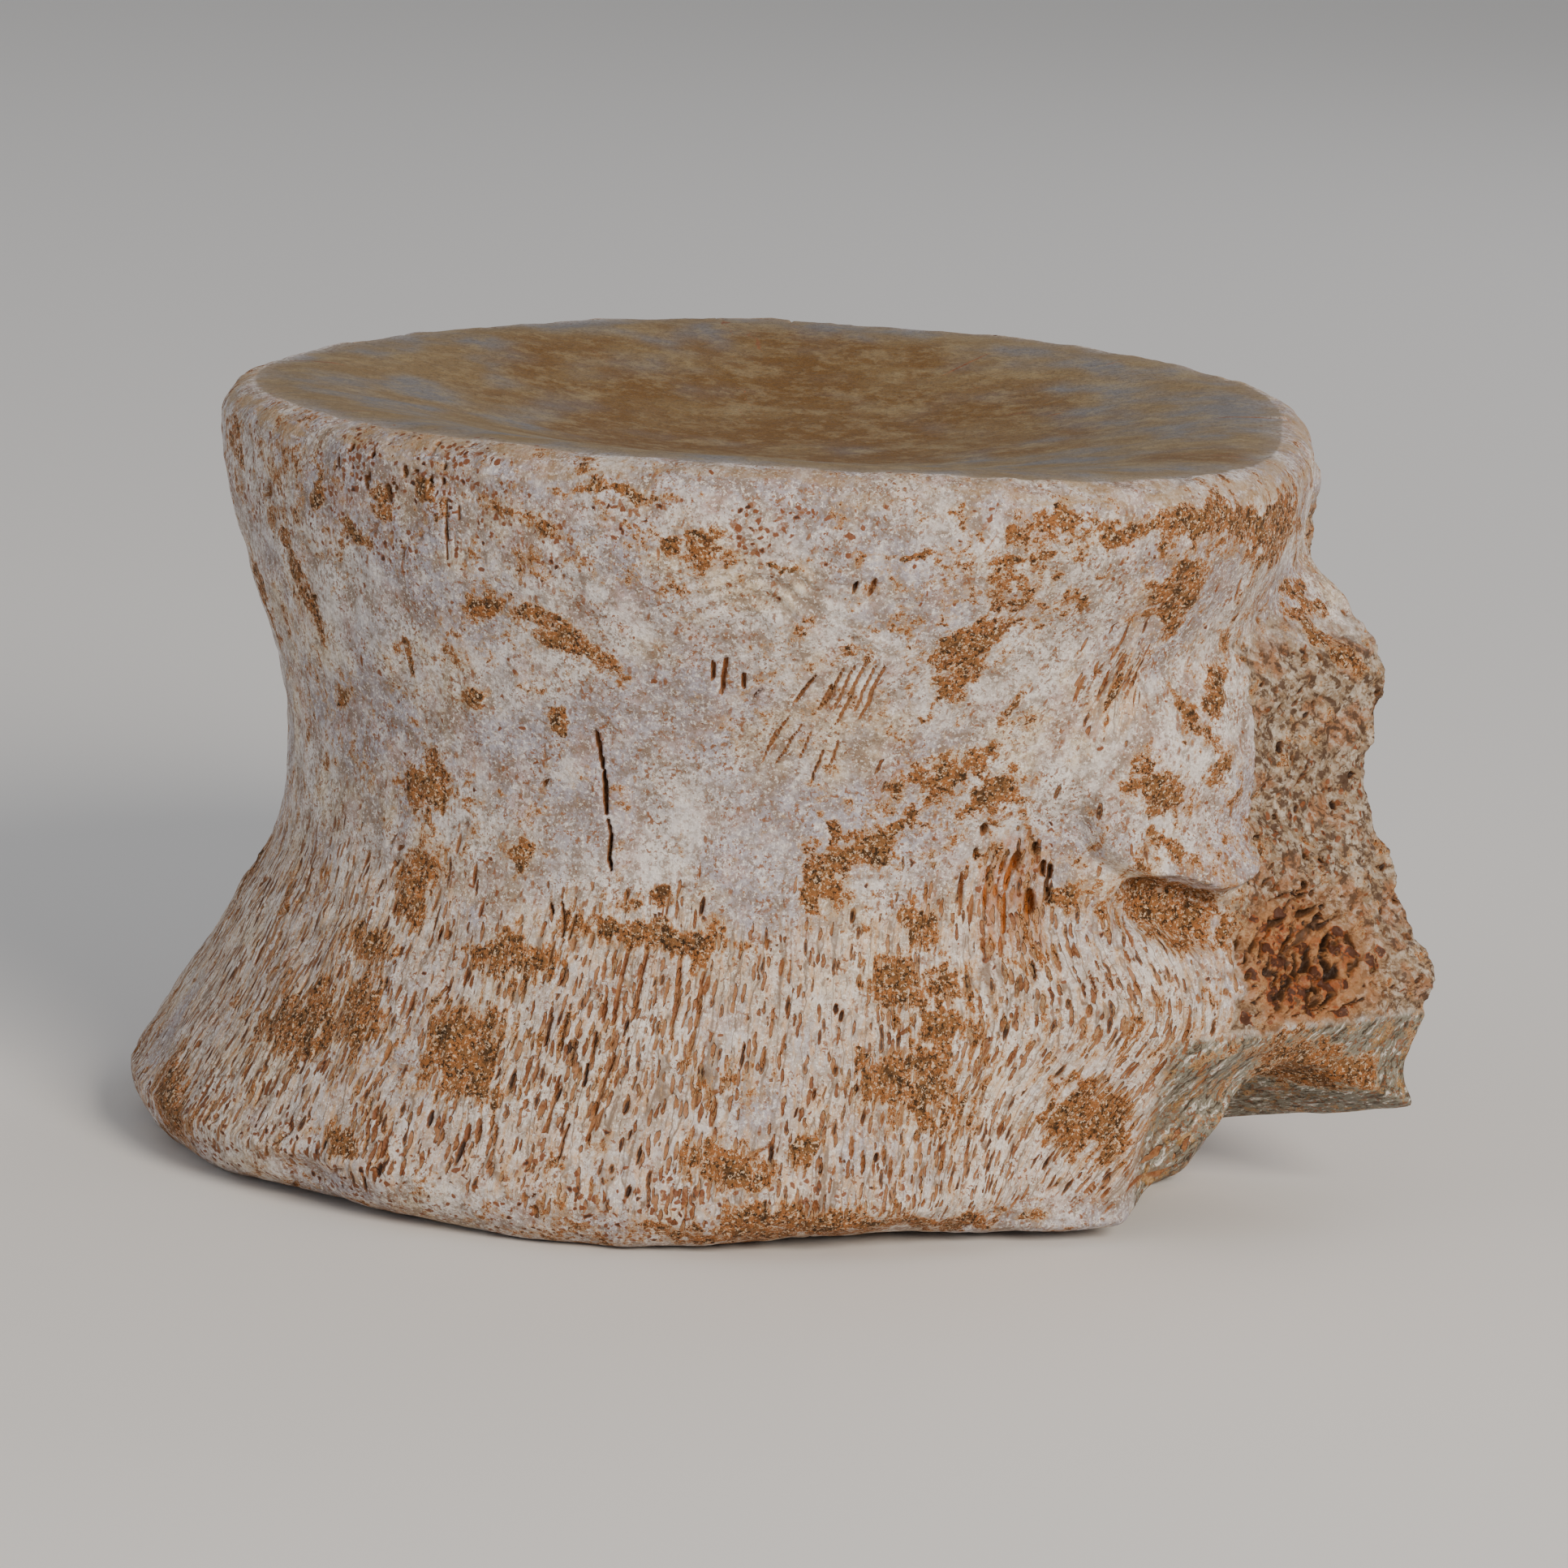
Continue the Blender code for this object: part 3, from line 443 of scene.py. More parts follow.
# steps: product of factors, each a field and its values where the factor is 0 and where it is 1
# sums: weights, each times the product of the fields that it names
fields = {
    "wall": (("row", 1.0, 1.25), ("row", 4.0, 3.75)), "kept": (("row", 1.05, 1.4), ("row", 4.06, 4.0)),
    "face": (("row", 3.9, 4.1),), "under": (("row", 1.2, 0.95), ("row", 0.8, 0.7)),
    "raised": (("row", 1.0, 1.3),), "sandRows": (("row", 0.9, 1.1),),
    "rimRows": (("row", 2.85, 3.3), ("row", 4.1, 4.0)), "fleckRows": (("row", 1.05, 1.4), ("row", 3.7, 3.4)),
    "flangeArea": (("turn", -45, -41), ("turn", -10, -16), ("height", 16, 15)),
    "belly": (("away", 125, 150),),
    "lowRim": (("height", 0.6, 1.6), ("height", 7.5, 5.5), ("away", 60, 85)),
    "upperRim": (("height", 47, 50), ("height", 56.5, 55), ("away", 30, 50)),
    "crowded": (("crowds", 0.5, 0.7),), "blotched": (("blotch", 0.40, 0.70),),
    "crumbly": (("lumps", 0.4, 0.7),), "hollowed": (("soft", 0.2, 0.6),),
    "brokenFoot": (("soft", 0.35, 0.75), ("height", 40, 26)),
    # the lowest few millimetres of the wall, which get painted shade and a film of sediment
    "footHeight": {"height": 1, "lumps": 1.6, "": -0.8},
    "foot": (("footHeight", 3.2, 1.0), ("away", 60, 80)),
    "bandHeight": {"height": 1, "soft": 9, "": -4.5},
    "band": (("height", 1.8, 5.0), ("bandHeight", 29, 19), ("away", 30, 46)),
    "pitted": {"band": 1, "band broken": -1},  # how thickly the wall is pitted
    "bare": {"": 1, "smoothPlate": -0.85, "flangeArea": -0.425},
    "streaky": {"pitted": 0.18, "pitted soft": 0.9, "pitted arch": -0.081, "pitted soft arch": -0.405,
                "arch": 0.2, "foramen": 0.5, "hatched": 0.6},
    # round pores: in clouds on the wall, crowded at the front of the upper rim and along the lower rim
    "pores": {"bare": 0.01, "cluster bare": 0.25, "cluster crowded bare": 0.75, "lowRim bare": 0.15,
              "lowRim soft bare": 0.5, "upperRim crowded bare": 0.4, "foramen bare": 0.3,
              "broken brokenFoot": 0.3},
    "flecks": {"": 0.03, "shoulder": 0.12, "crowded": 0.08, "crowded blotched": 0.35, "crowded upperRim": 0.3,
               "crowded arch": 0.2},
    # the foot's share lays sediment along the lowest millimetres, partly as painted shade
    "dust": {"": -0.13, "pitted": 0.03, "foot": 0.14, "belly": 0.05, "upperRim": 0.06, "arch": 0.03,
             "foramen": 0.05, "smoothPlate": -0.12, "shoulder": 0.02, "blotch": 0.34, "lumps": 0.20},
    # what the openings follow, and how many there are
    "slanted": {"turn": 1, "height": -1.5, "ragged": 2, "": 29}, "wobbly": {"height": 1, "soft": 0.8, "": -0.4},
    "jagged": {"turn": 1, "ragged": 1.5, "": -0.75}, "slitTurn": {"turn": 1, "ragged": 0.4, "": -0.2},
    "bigShare": {"cluster kept": 0.42}, "cells": {"": 0.02, "redCells": 1.3},
    "crumbShare": {"broken": 0.10, "broken crumbly": 0.5}, "slitGloom": {"wall": 0.3, "wall lumps": 1.2},
}
redFields = {"reddest": {"nearRed": 0.6, "nearRed ragged": 1, "farRed": 0.48, "farRed ragged": 0.8}}
# the same, once the openings and the sediment patches are known
lateFields = {
    "layer": {"dust sandRows": 1, "dust patch sandRows": -1, "patch sandRows": 0.66,
              "redCells sandRows": -0.35},
    "settled": {"layer": 1, "layer face": -1, "face": -0.3},
    "crustLevel": {"settled": 1, "ragged": 0.4, "": -0.2},
    "crust": (("crustLevel", 0.45, 0.75), ("row", 1.0, 1.25), ("row", 4.0, 3.75)),
    "clear": {"": 1, "crust": -0.8, "crust broken": 0.4},
    "lift": {"": -0.33, "soft": 0.30, "lumps": 0.22, "ragged": 0.14, "broken": -0.95, "broken spongy": 1.3,
             "broken redCells": -0.76, "broken spongy redCells": 1.04, "wrinkle wall": 0.13,
             "sunk clear kept": -1, "crust": -0.05, "crust sandy": 0.2},
    "underLift": {"under soft": 0.1, "under": -0.05},
    "worn": {"": 1, "lumps": -0.5, "ragged": -0.5},
    "wear": (("worn", 0.35, 0.75),), "trough": (("wrinkle", -0.1, -0.6),),
    # painted shade: darker in the shoulder's hollow under the upper rim, and along the lowest millimetres of
    # the wall
    "shade": {"shoulder hollowed": 1.5}, "footShade": {"foot": 0.9},
    # the open pits, and the painted shade that darkens the inside of the dark ones and of the slits
    "pit": {"opened clear": 1}, "dark": {"darkened clear": 1},
    "ruddy": {"foramen wall": 0.5, "foramen wall ragged": 1}, "rim": {"rimRows": 1, "rimRows rimGap": -0.4},
    # the underside of the near stump's flange, which the material darkens as painted shade
    "flangePaintedShade": {"flangeArea wall": 1}, "porous": {"pores kept": 1},
    "flecked": {"flecks fleckRows": 1, "flecks fleckRows broken": -1, "flecks fleckRows smoothPlate": -0.5,
                "flecks fleckRows smoothPlate broken": 0.5},
}
# fields that the material reads, one attribute each
marks = ("pit", "dark", "settled", "hollow", "broken", "redCells", "ruddy", "stain", "rim", "fibres", "face",
         "flangePaintedShade", "porous", "flecked")
faceLift = 0.3  # share of the relief that the faces keep
wrinkles = {"pitch": 1.6, "soft": 3.5, "blotch": 1.8, "least": 0.4}
patchEdge = {"reach": 2.6, "along": 1.3, "thick": 1.4, "thin": 0.2, "power": 0.6,
             "lace": (0.28, 0.48), "solid": (0.6, 0.85), "lip": (0.80, 0.92, 1.3, 1.7), "lipEnds": (1.0, 1.4)}
# stain of the upper face: middles and half sizes of the brown dish and of the sandy dorsal end
stains = {"dish": (1, 8, 35, 33), "cloud": 0.55, "dishEdge": (1.05, 0.5),
          "end": (33, -17, 9, 9), "endEdge": (0.8, 0.2)}


def fibreTurn(turn, height):
    # the angle less the fibres' lean, so that it stays the same along a fibre
    away = np.abs(turn)
    total = sum(slope * (height - middle) * between(*turns, away) * between(*heights, height)
                for slope, middle, turns, heights in leans)
    return turn + np.sign(turn) * total


def brokenFace(turn, height, ragged, face):
    # 1 on the broken face of a pedicle, between its outer crease and the neural canal
    fromCrease = turn - curveThrough(face["heights"], face["turns"], height)
    share = 1
    for edge, value in (("first", fromCrease), ("last", turn), ("foot", height), ("top", height)):
        out, full, reach = face[edge]
        share = share * ease(out, full, value + reach * ragged)
    return share


def addFields(known, recipes):
    # works out each listed field from those before it: a product of steps, or a weighted sum of products
    for name, recipe in recipes.items():
        if isinstance(recipe, dict):
            known[name] = sum(weight * np.prod([known[part] for part in parts.split()], axis=0)
                              for parts, weight in recipe.items())
        else:
            known[name] = np.prod([ease(out, full, known[part]) for part, out, full in recipe], axis=0)


def openBone(known):
    # the openings and slits, how dark they are inside as painted shade, each 0 to 1, and how far they sink, in
    # mm
    opened, darkened, sunk = [np.zeros_like(known["turn"]) for _ in range(3)]
    for kind in openings.values():
        depth, which = scatteredPits(*[known[name] for name in kind["follows"]], kind)
        light, soft = 1 - kind["gloom"], openingSpread["gloomChoice"]
        opened = np.maximum(opened, depth)
        darkened = np.maximum(darkened, depth * ease(light - soft, light + soft, which))
        sunk = np.maximum(sunk, depth * kind["depth"])
    for slit in slits:
        mark = nearSegment(known["slitTurn"], known["height"], slit)
        opened = np.maximum(opened, mark * known["wall"])
        darkened = np.maximum(darkened, mark * slit[6] * known["slitGloom"])
        sunk = np.maximum(sunk, mark * known["wall"] * slit[5])
    return opened, darkened, sunk


def sedimentPatch(known):
    # listed patches with ragged outlines that thin out at their edges and leave the lip over the hollow clean
    edge, turn, height = patchEdge, known["turn"], known["height"]
    shift = edge["reach"] * (known["drifts"] - 0.5)
    patch = np.zeros_like(turn)
    for form in sedimentPatches:
        u, v = formAxes(turn + edge["along"] * shift, height - shift, *form)
        patch = np.maximum(patch, edge["thick"] - np.hypot(u, v))
    cover = np.maximum(ease(*edge["lace"], known["lace"]), ease(*edge["solid"], patch))
    patch = np.clip(patch, 0, 1) * (edge["thin"] + (1 - edge["thin"]) * cover)
    u, v = formAxes(turn, height, *ledges["lipHollow"][:5])
    lip = between(*edge["lip"], -v) * (1 - ease(*edge["lipEnds"], np.abs(u)))
    return (patch * (1 - lip)) ** edge["power"]


def faceStain(known, points):
    # stain of the upper face: brown in the dish, grey on a broken ring inside the rim, sandy at the dorsal end
    x, y = points[..., 0] - body["axisX"], points[..., 1]
    dish, end = [np.hypot((x - middleX) / halfX, (y - middleY) / halfY)
                 for middleX, middleY, halfX, halfY in (stains["dish"], stains["end"])]
    dish = dish + stains["cloud"] * (known["clouds"] - 0.5)
    return np.maximum(ease(*stains["dishEdge"], dish), ease(*stains["endEdge"], end)) * known["face"]


def relief(points, turn, row):
    # height of the fine relief over the smooth bone, in mm, the marks that colour it, each 0 to 1, and places
    # that run straight along the fibres, for the patterns that follow them
    height = points[..., 2]
    # distance along the profile: the height on the wall, and the arc round each rim
    arc = np.pi / 2 * np.clip(row - 3, 0, 1)
    along = height + body["topRound"] * (arc - np.sin(arc))
    along = np.where(row < 2, body["lowRoundHeight"] * (1 - np.pi / 2 * (2 - row)), along)

    known = {"row": row, "turn": turn, "height": height, "along": along, "away": np.abs(turn)}
    for name, noise in noises.items():
        known[name] = layeredNoise(points, *noise)
    for name, (centre, measure, middle, halfTurn, halfHeight, power) in places.items():
        u, v = (turn - centre) / halfTurn, (known[measure] - middle) / halfHeight
        known[name] = np.exp(-u ** power - v ** power)
    ragged = known["ragged"] - 0.5
    known["broken"] = np.clip(sum(brokenFace(turn, height, ragged, face) for face in breakFaces), 0, 1)
    addFields(known, redFields)
    known["redCells"] = np.clip(known["reddest"], 0, 1) * known["broken"]
    addFields(known, fields)
    known["fibres"] = np.clip(known["streaky"], 0, 1) * known["bare"] * known["wall"]
    known["axialShare"] = fibreWave["share"] * known["fibres"]
    known["spongeShare"] = np.clip(known["cells"], 0, 1) * known["broken"]

    wave = smoothNoise(points, fibreWave["size"], fibreWave["shift"]) - 0.5
    wavy = known["wavy"] = fibreTurn(turn, height) + fibreWave["reach"] * wave
    known["opened"], known["darkened"], known["sunk"] = openBone(known)
    known["patch"] = sedimentPatch(known)
    wave = height + wrinkles["soft"] * (known["soft"] - 0.5) + wrinkles["blotch"] * (known["blotch"] - 0.5)
    wave = np.sin(2 * np.pi * wave / wrinkles["pitch"]) * (wrinkles["least"] + known["lumps"])
    known["wrinkle"] = wave * known["wrinkled"]
    addFields(known, lateFields)
    # darker in the hollows of the relief and in the wrinkles' troughs, with painted shade in the shoulder's
    # hollow and along the foot
    shades = [known[name] for name in ("wear", "trough", "shade", "footShade")]
    known["hollow"] = np.maximum.reduce(shades) * known["wall"]
    known["stain"] = faceStain(known, points)
    lift = known["lift"] * known["raised"] * (1 - (1 - faceLift) * known["face"]) + known["underLift"]
    grain = np.stack([formArm * np.cos(np.radians(wavy)), formArm * np.sin(np.radians(wavy)), height], -1)
    return lift, {name: known[name] for name in marks}, grain


# pieces

gridSteps = {
    "edgeRows": 36, "wallRows": 300, "upperRows": 24, "faceRows": 14,  # rows of the wall pieces
    "before": [0.97, 0.985],  # the two rows before them
    "faceShare": 0.1,  # share of the upper face that the wall pieces take in
    "upperFace": 296, "lowerFace": 150,  # samples along each side of a face's grid
    "core": 29.0,  # height of the point on the axis to which each piece is closed
}
# where each piece lies on its map: margin, end of the grid and start of the fan's strip
bakeMap = {"edge": 0.004, "gridEnd": 0.976, "strip": 0.982}


def addObject(name, data):
    # a new object in the scene, at the origin
    made = bpy.data.objects.new(name, data)
    bpy.context.scene.collection.objects.link(made)
    return made


def normalsOf(points):
    # cross product of the central differences along both directions of the grid
    u = points[1:-1, 2:] - points[1:-1, :-2]
    v = points[2:, 1:-1] - points[:-2, 1:-1]
    n = np.cross(u, v)
    return n / np.maximum(np.linalg.norm(n, axis=-1, keepdims=True), 1e-12)


def carved(angle, row):
    # the smooth bone moved along its normals by the relief; the grid comes in two samples wider on each side
    smooth = boneSurface(angle, row)
    normals = normalsOf(smooth)
    smooth, row = smooth[1:-1, 1:-1], row[1:-1, 1:-1]
    turn = np.degrees(np.arctan2(smooth[..., 1], smooth[..., 0] - body["axisX"]))
    lift, values, grain = relief(smooth, turn, row)
    points = smooth + normals * lift[..., None]
    points[..., 2] = np.maximum(points[..., 2], 0)
    return points, values, grain


def addPiece(name, grid, material, nodes):
    # a closed piece: the carved grid, and a fan from its border to one point on the axis, inside the bone
    points, values, grain = carved(*grid)
    normals = normalsOf(points)
    points = points[1:-1, 1:-1]
    rows, columns = points.shape[:2]
    index = np.arange(rows * columns).reshape(rows, columns)
    quads = np.stack([index[:-1, :-1], index[:-1, 1:], index[1:, 1:], index[1:, :-1]], -1).reshape(-1, 4)
    loop = np.concatenate([index[0, :-1], index[:-1, -1], index[-1, :0:-1], index[:0:-1, 0]])
    fan = np.stack([np.roll(loop, -1), loop, np.full(len(loop), rows * columns)], -1)
    core = np.array([[body["axisX"], 0, gridSteps["core"]]])
    everything = np.concatenate([points.reshape(-1, 3), core]) * mm
    mesh = bpy.data.meshes.new(name)
    mesh.from_pydata(everything, [], quads.tolist() + fan.tolist())
    mesh.shade_smooth()

    # the grid fills the map, and the fan lies in a strip beside it
    edge = bakeMap["edge"]
    u, v = np.meshgrid(np.linspace(edge, bakeMap["gridEnd"], columns), np.linspace(edge, 1 - edge, rows))
    flat = np.stack([u, v], -1).reshape(-1, 2)
    along = edge + (1 - 2 * edge) * np.arange(len(loop) + 1) / len(loop)
    near, far = np.full(len(loop), bakeMap["strip"]), np.full(len(loop), 1 - edge)
    strip = np.stack([near, along[1:], near, along[:-1], far, (along[1:] + along[:-1]) / 2], -1)
    layer = mesh.uv_layers.new(name="OFBake")
    corners = np.concatenate([flat[quads.ravel()].ravel(), strip.ravel()])
    layer.data.foreach_set("uv", corners.astype(np.float32))

    for mark in marks:
        attribute = mesh.attributes.new(mark, "FLOAT", "POINT")
        attribute.data.foreach_set("value", np.append(values[mark][1:-1, 1:-1].ravel(), 0).astype(np.float32))
    attribute = mesh.attributes.new("grain", "FLOAT_VECTOR", "POINT")
    attribute.data.foreach_set("vector", np.append(grain[1:-1, 1:-1].ravel(), (0, 0, 0)).astype(np.float32))
    normals = np.concatenate([normals.reshape(-1, 3), [[0, 0, 1]]])
    mesh.normals_split_custom_set_from_vertices(normals.tolist())

    piece = addObject(name, mesh)
    mesh.materials.append(material)
    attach(piece, "root")
    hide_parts(*nodes)
    print("made", name, "with", len(quads) * 2 + len(fan), "triangles")


def wallGrid(start, stop, step):
    # angles and rows of a wall piece, two samples wider on each side
    parts = [gridSteps["before"]]
    for first, name in ((1, "edgeRows"), (2, "wallRows"), (3, "upperRows")):
        steps = gridSteps[name] // coarse
        parts.append(first + np.arange(steps) / steps)
    steps = gridSteps["faceRows"] // coarse
    parts.append(4 + gridSteps["faceShare"] * np.arange(steps + 3) / steps)
    rows = np.concatenate(parts)
    count = int(round((stop - start) / step / coarse))
    columns = start + (stop - start) * np.arange(-2, count + 3) / count
    return np.meshgrid(np.radians(columns), rows)


def faceGrid(count, outer, inner, flip):
    # a square grid bent to circles: rings of the square become rings of the face; outer and inner are rows
    s = np.linspace(-1, 1, count // coarse + 1)
    step = s[1] - s[0]
    s = np.concatenate([[s[0] - 2 * step, s[0] - step], s, [s[-1] + step, s[-1] + 2 * step]])
    s, t = np.meshgrid(s, s)
    wide = np.abs(s) > np.abs(t)
    big = np.where(wide, s, t)
    other = np.where(wide, t, s) / np.where(big == 0, 1, big)
    angle = np.where(wide, np.pi / 4 * other, np.pi / 2 - np.pi / 4 * other) + np.where(big < 0, np.pi, 0)
    share = np.abs(big)
    return (-angle if flip else angle), inner + (outer - inner) * share


# materials

def linear(code):
    # sRGB hex to linear red, green, blue and alpha
    values = [int(code[i:i + 2], 16) / 255 for i in (1, 3, 5)]
    return tuple(c / 12.92 if c <= 0.04045 else ((c + 0.055) / 1.055) ** 2.4 for c in values) + (1.0,)


def addNode(tree, kind, inputs=None, **settings):
    # adds a node, sets its own settings and fills its inputs with values or with links from other sockets;
    # returns its outputs
    node = tree.nodes.new("ShaderNode" + kind)
    for key, value in settings.items():
        setattr(node, key, value)
    for key, value in (inputs or {}).items():
        if isinstance(value, bpy.types.NodeSocket):
            tree.links.new(value, node.inputs[key])
        else:
            node.inputs[key].default_value = value
    return node.outputs


boneLook = {
    "colours": {
        "pale": "#D3CCC6", "cool": "#A39EA5", "cream": "#CFBA98", "pink": "#B0968F", "dirt": "#7A6552",
        "bright": "#EBE5DC", "ivory": "#E6D8C4", "peach": "#CFA67C",
        # the near-black for pits on the next line is painted shade inside open pits, pores and spongy cells
        "speck": "#80502C", "pitFill": "#936238", "pitRust": "#703E1A", "pitPaintedShade": "#2A180B",
        "dust": "#B4926A", "rust": "#A0602A", "sand": "#7C5530", "sandDark": "#33220E", "sandPale": "#DCC0A0",
        "breakPale": "#B4A898", "breakTan": "#80694F", "breakDark": "#4A321E", "breakRust": "#8C5830",
        "breakRed": "#86400F", "cellRim": "#A07044", "ruddy": "#A2694A", "amber": "#B4641E",
        # the upper face's grey on the next line is partly painted shade for the grazing light on the face
        "faceBrown": "#6C4A14", "faceGreyAndShade": "#6F6D6E", "faceTan": "#806840", "facePale": "#9C8A66",
        # the flange's dark greenish grey on the next line is painted shade for its underside
        "poreRed": "#74401C", "rimStreak": "#A08258", "flangePaintedShade": "#6E6A59", "ochre": "#8A6226",
    },
    # patterns on the bone: size in mm, octaves, roughness of the octaves, and shift that tells like ones apart
    "patterns": {
        "tint": (11, 2, 0.5, 0), "cloud": (7, 4, 0.6, 0.3), "blush": (4, 4, 0.65, 0.6),
        "mottle": (1.6, 4, 0.7, 0), "clump": (3, 2, 0.6, 2.1), "specks": (0.36, 2, 0.7, 0.9),
        "drift": (1.7, 5, 0.78, 1.2), "clods": (1, 3, 0.65, 2.7), "grit": (0.36, 2, 0.7, 0),
        "grains": (0.3, 2, 0.8, 1.5), "blur": (6, 2, 0.4, 0.9),
    },
    # turns about X, Y and Z that lay the third axis along the flange's grooves and the spongy bone's struts
    "turned": {"groove": (0, 50, 0), "strut": (0, 119, 62)},
    # patterns that are drawn out: the space they follow, size in mm along its three axes, octaves
    "drawn": {
        "rimLines": ("grain", (6.2, 6.2, 1.1), 3), "streaks": ("grain", (0.5, 0.5, 2.2), 4),
        "hairLines": ("grain", (1.3, 1.3, 13.0), 1), "grooves": ("groove", (0.45, 0.45, 3.6), 3),
        "struts": ("strut", (0.55, 0.55, 2.2), 3), "threads": ("grain", (0.17, 0.17, 1.4), 1),
    },
    # openings finer than the mesh, one to a cell: the space they follow, their width in mm, their width for
    # their length, radius where an opening begins and where it is full, and the mark that tells how many
    "openings": {
        "lens": ("grain", 0.4, 0.25, 0.46, 0.37, "fibres"),
        "dash": ("grain", 0.38, 0.45, 0.46, 0.34, "flecked"),
        "pore": ("place", 0.52, 1, 0.48, 0.36, "porous"),
        "cell": ("strut", 1.1, 0.5, 0.5, 0.4, "redCells"),
    },
    "warpSize": 0.9, "warpReach": {"grain": 0.22, "place": 0.45},  # noise that bends the spaces, in mm
    "gloom": 0.3,  # share of these openings that are dark inside, painted shade of their depth
    "drawnRoughness": 0.65,
    # how the sediment's thickness and the face's stain are broken up: mark, and how far a noise moves it
    "brokenUp": {"level": ("settled", 0.58), "stained": ("stain", 0.45)}, "noiseSpan": (0.25, 0.75),
    "clings": (0.42, 0.6),  # thickness from where to where the surface is sediment
    "roughness": (0.62, 0.92),  # of bone and of sediment
    # bump: weight of the grit on bone and on sediment, of the mottling and of the lens openings; height in mm
    "bumpGrit": (0.5, 1.8), "bumpMottle": 1.4, "bumpLens": 1.5, "bumpStrength": 0.9, "bumpHeight": 0.16,
    "ior": 1.5, "specular": 0.35,
}
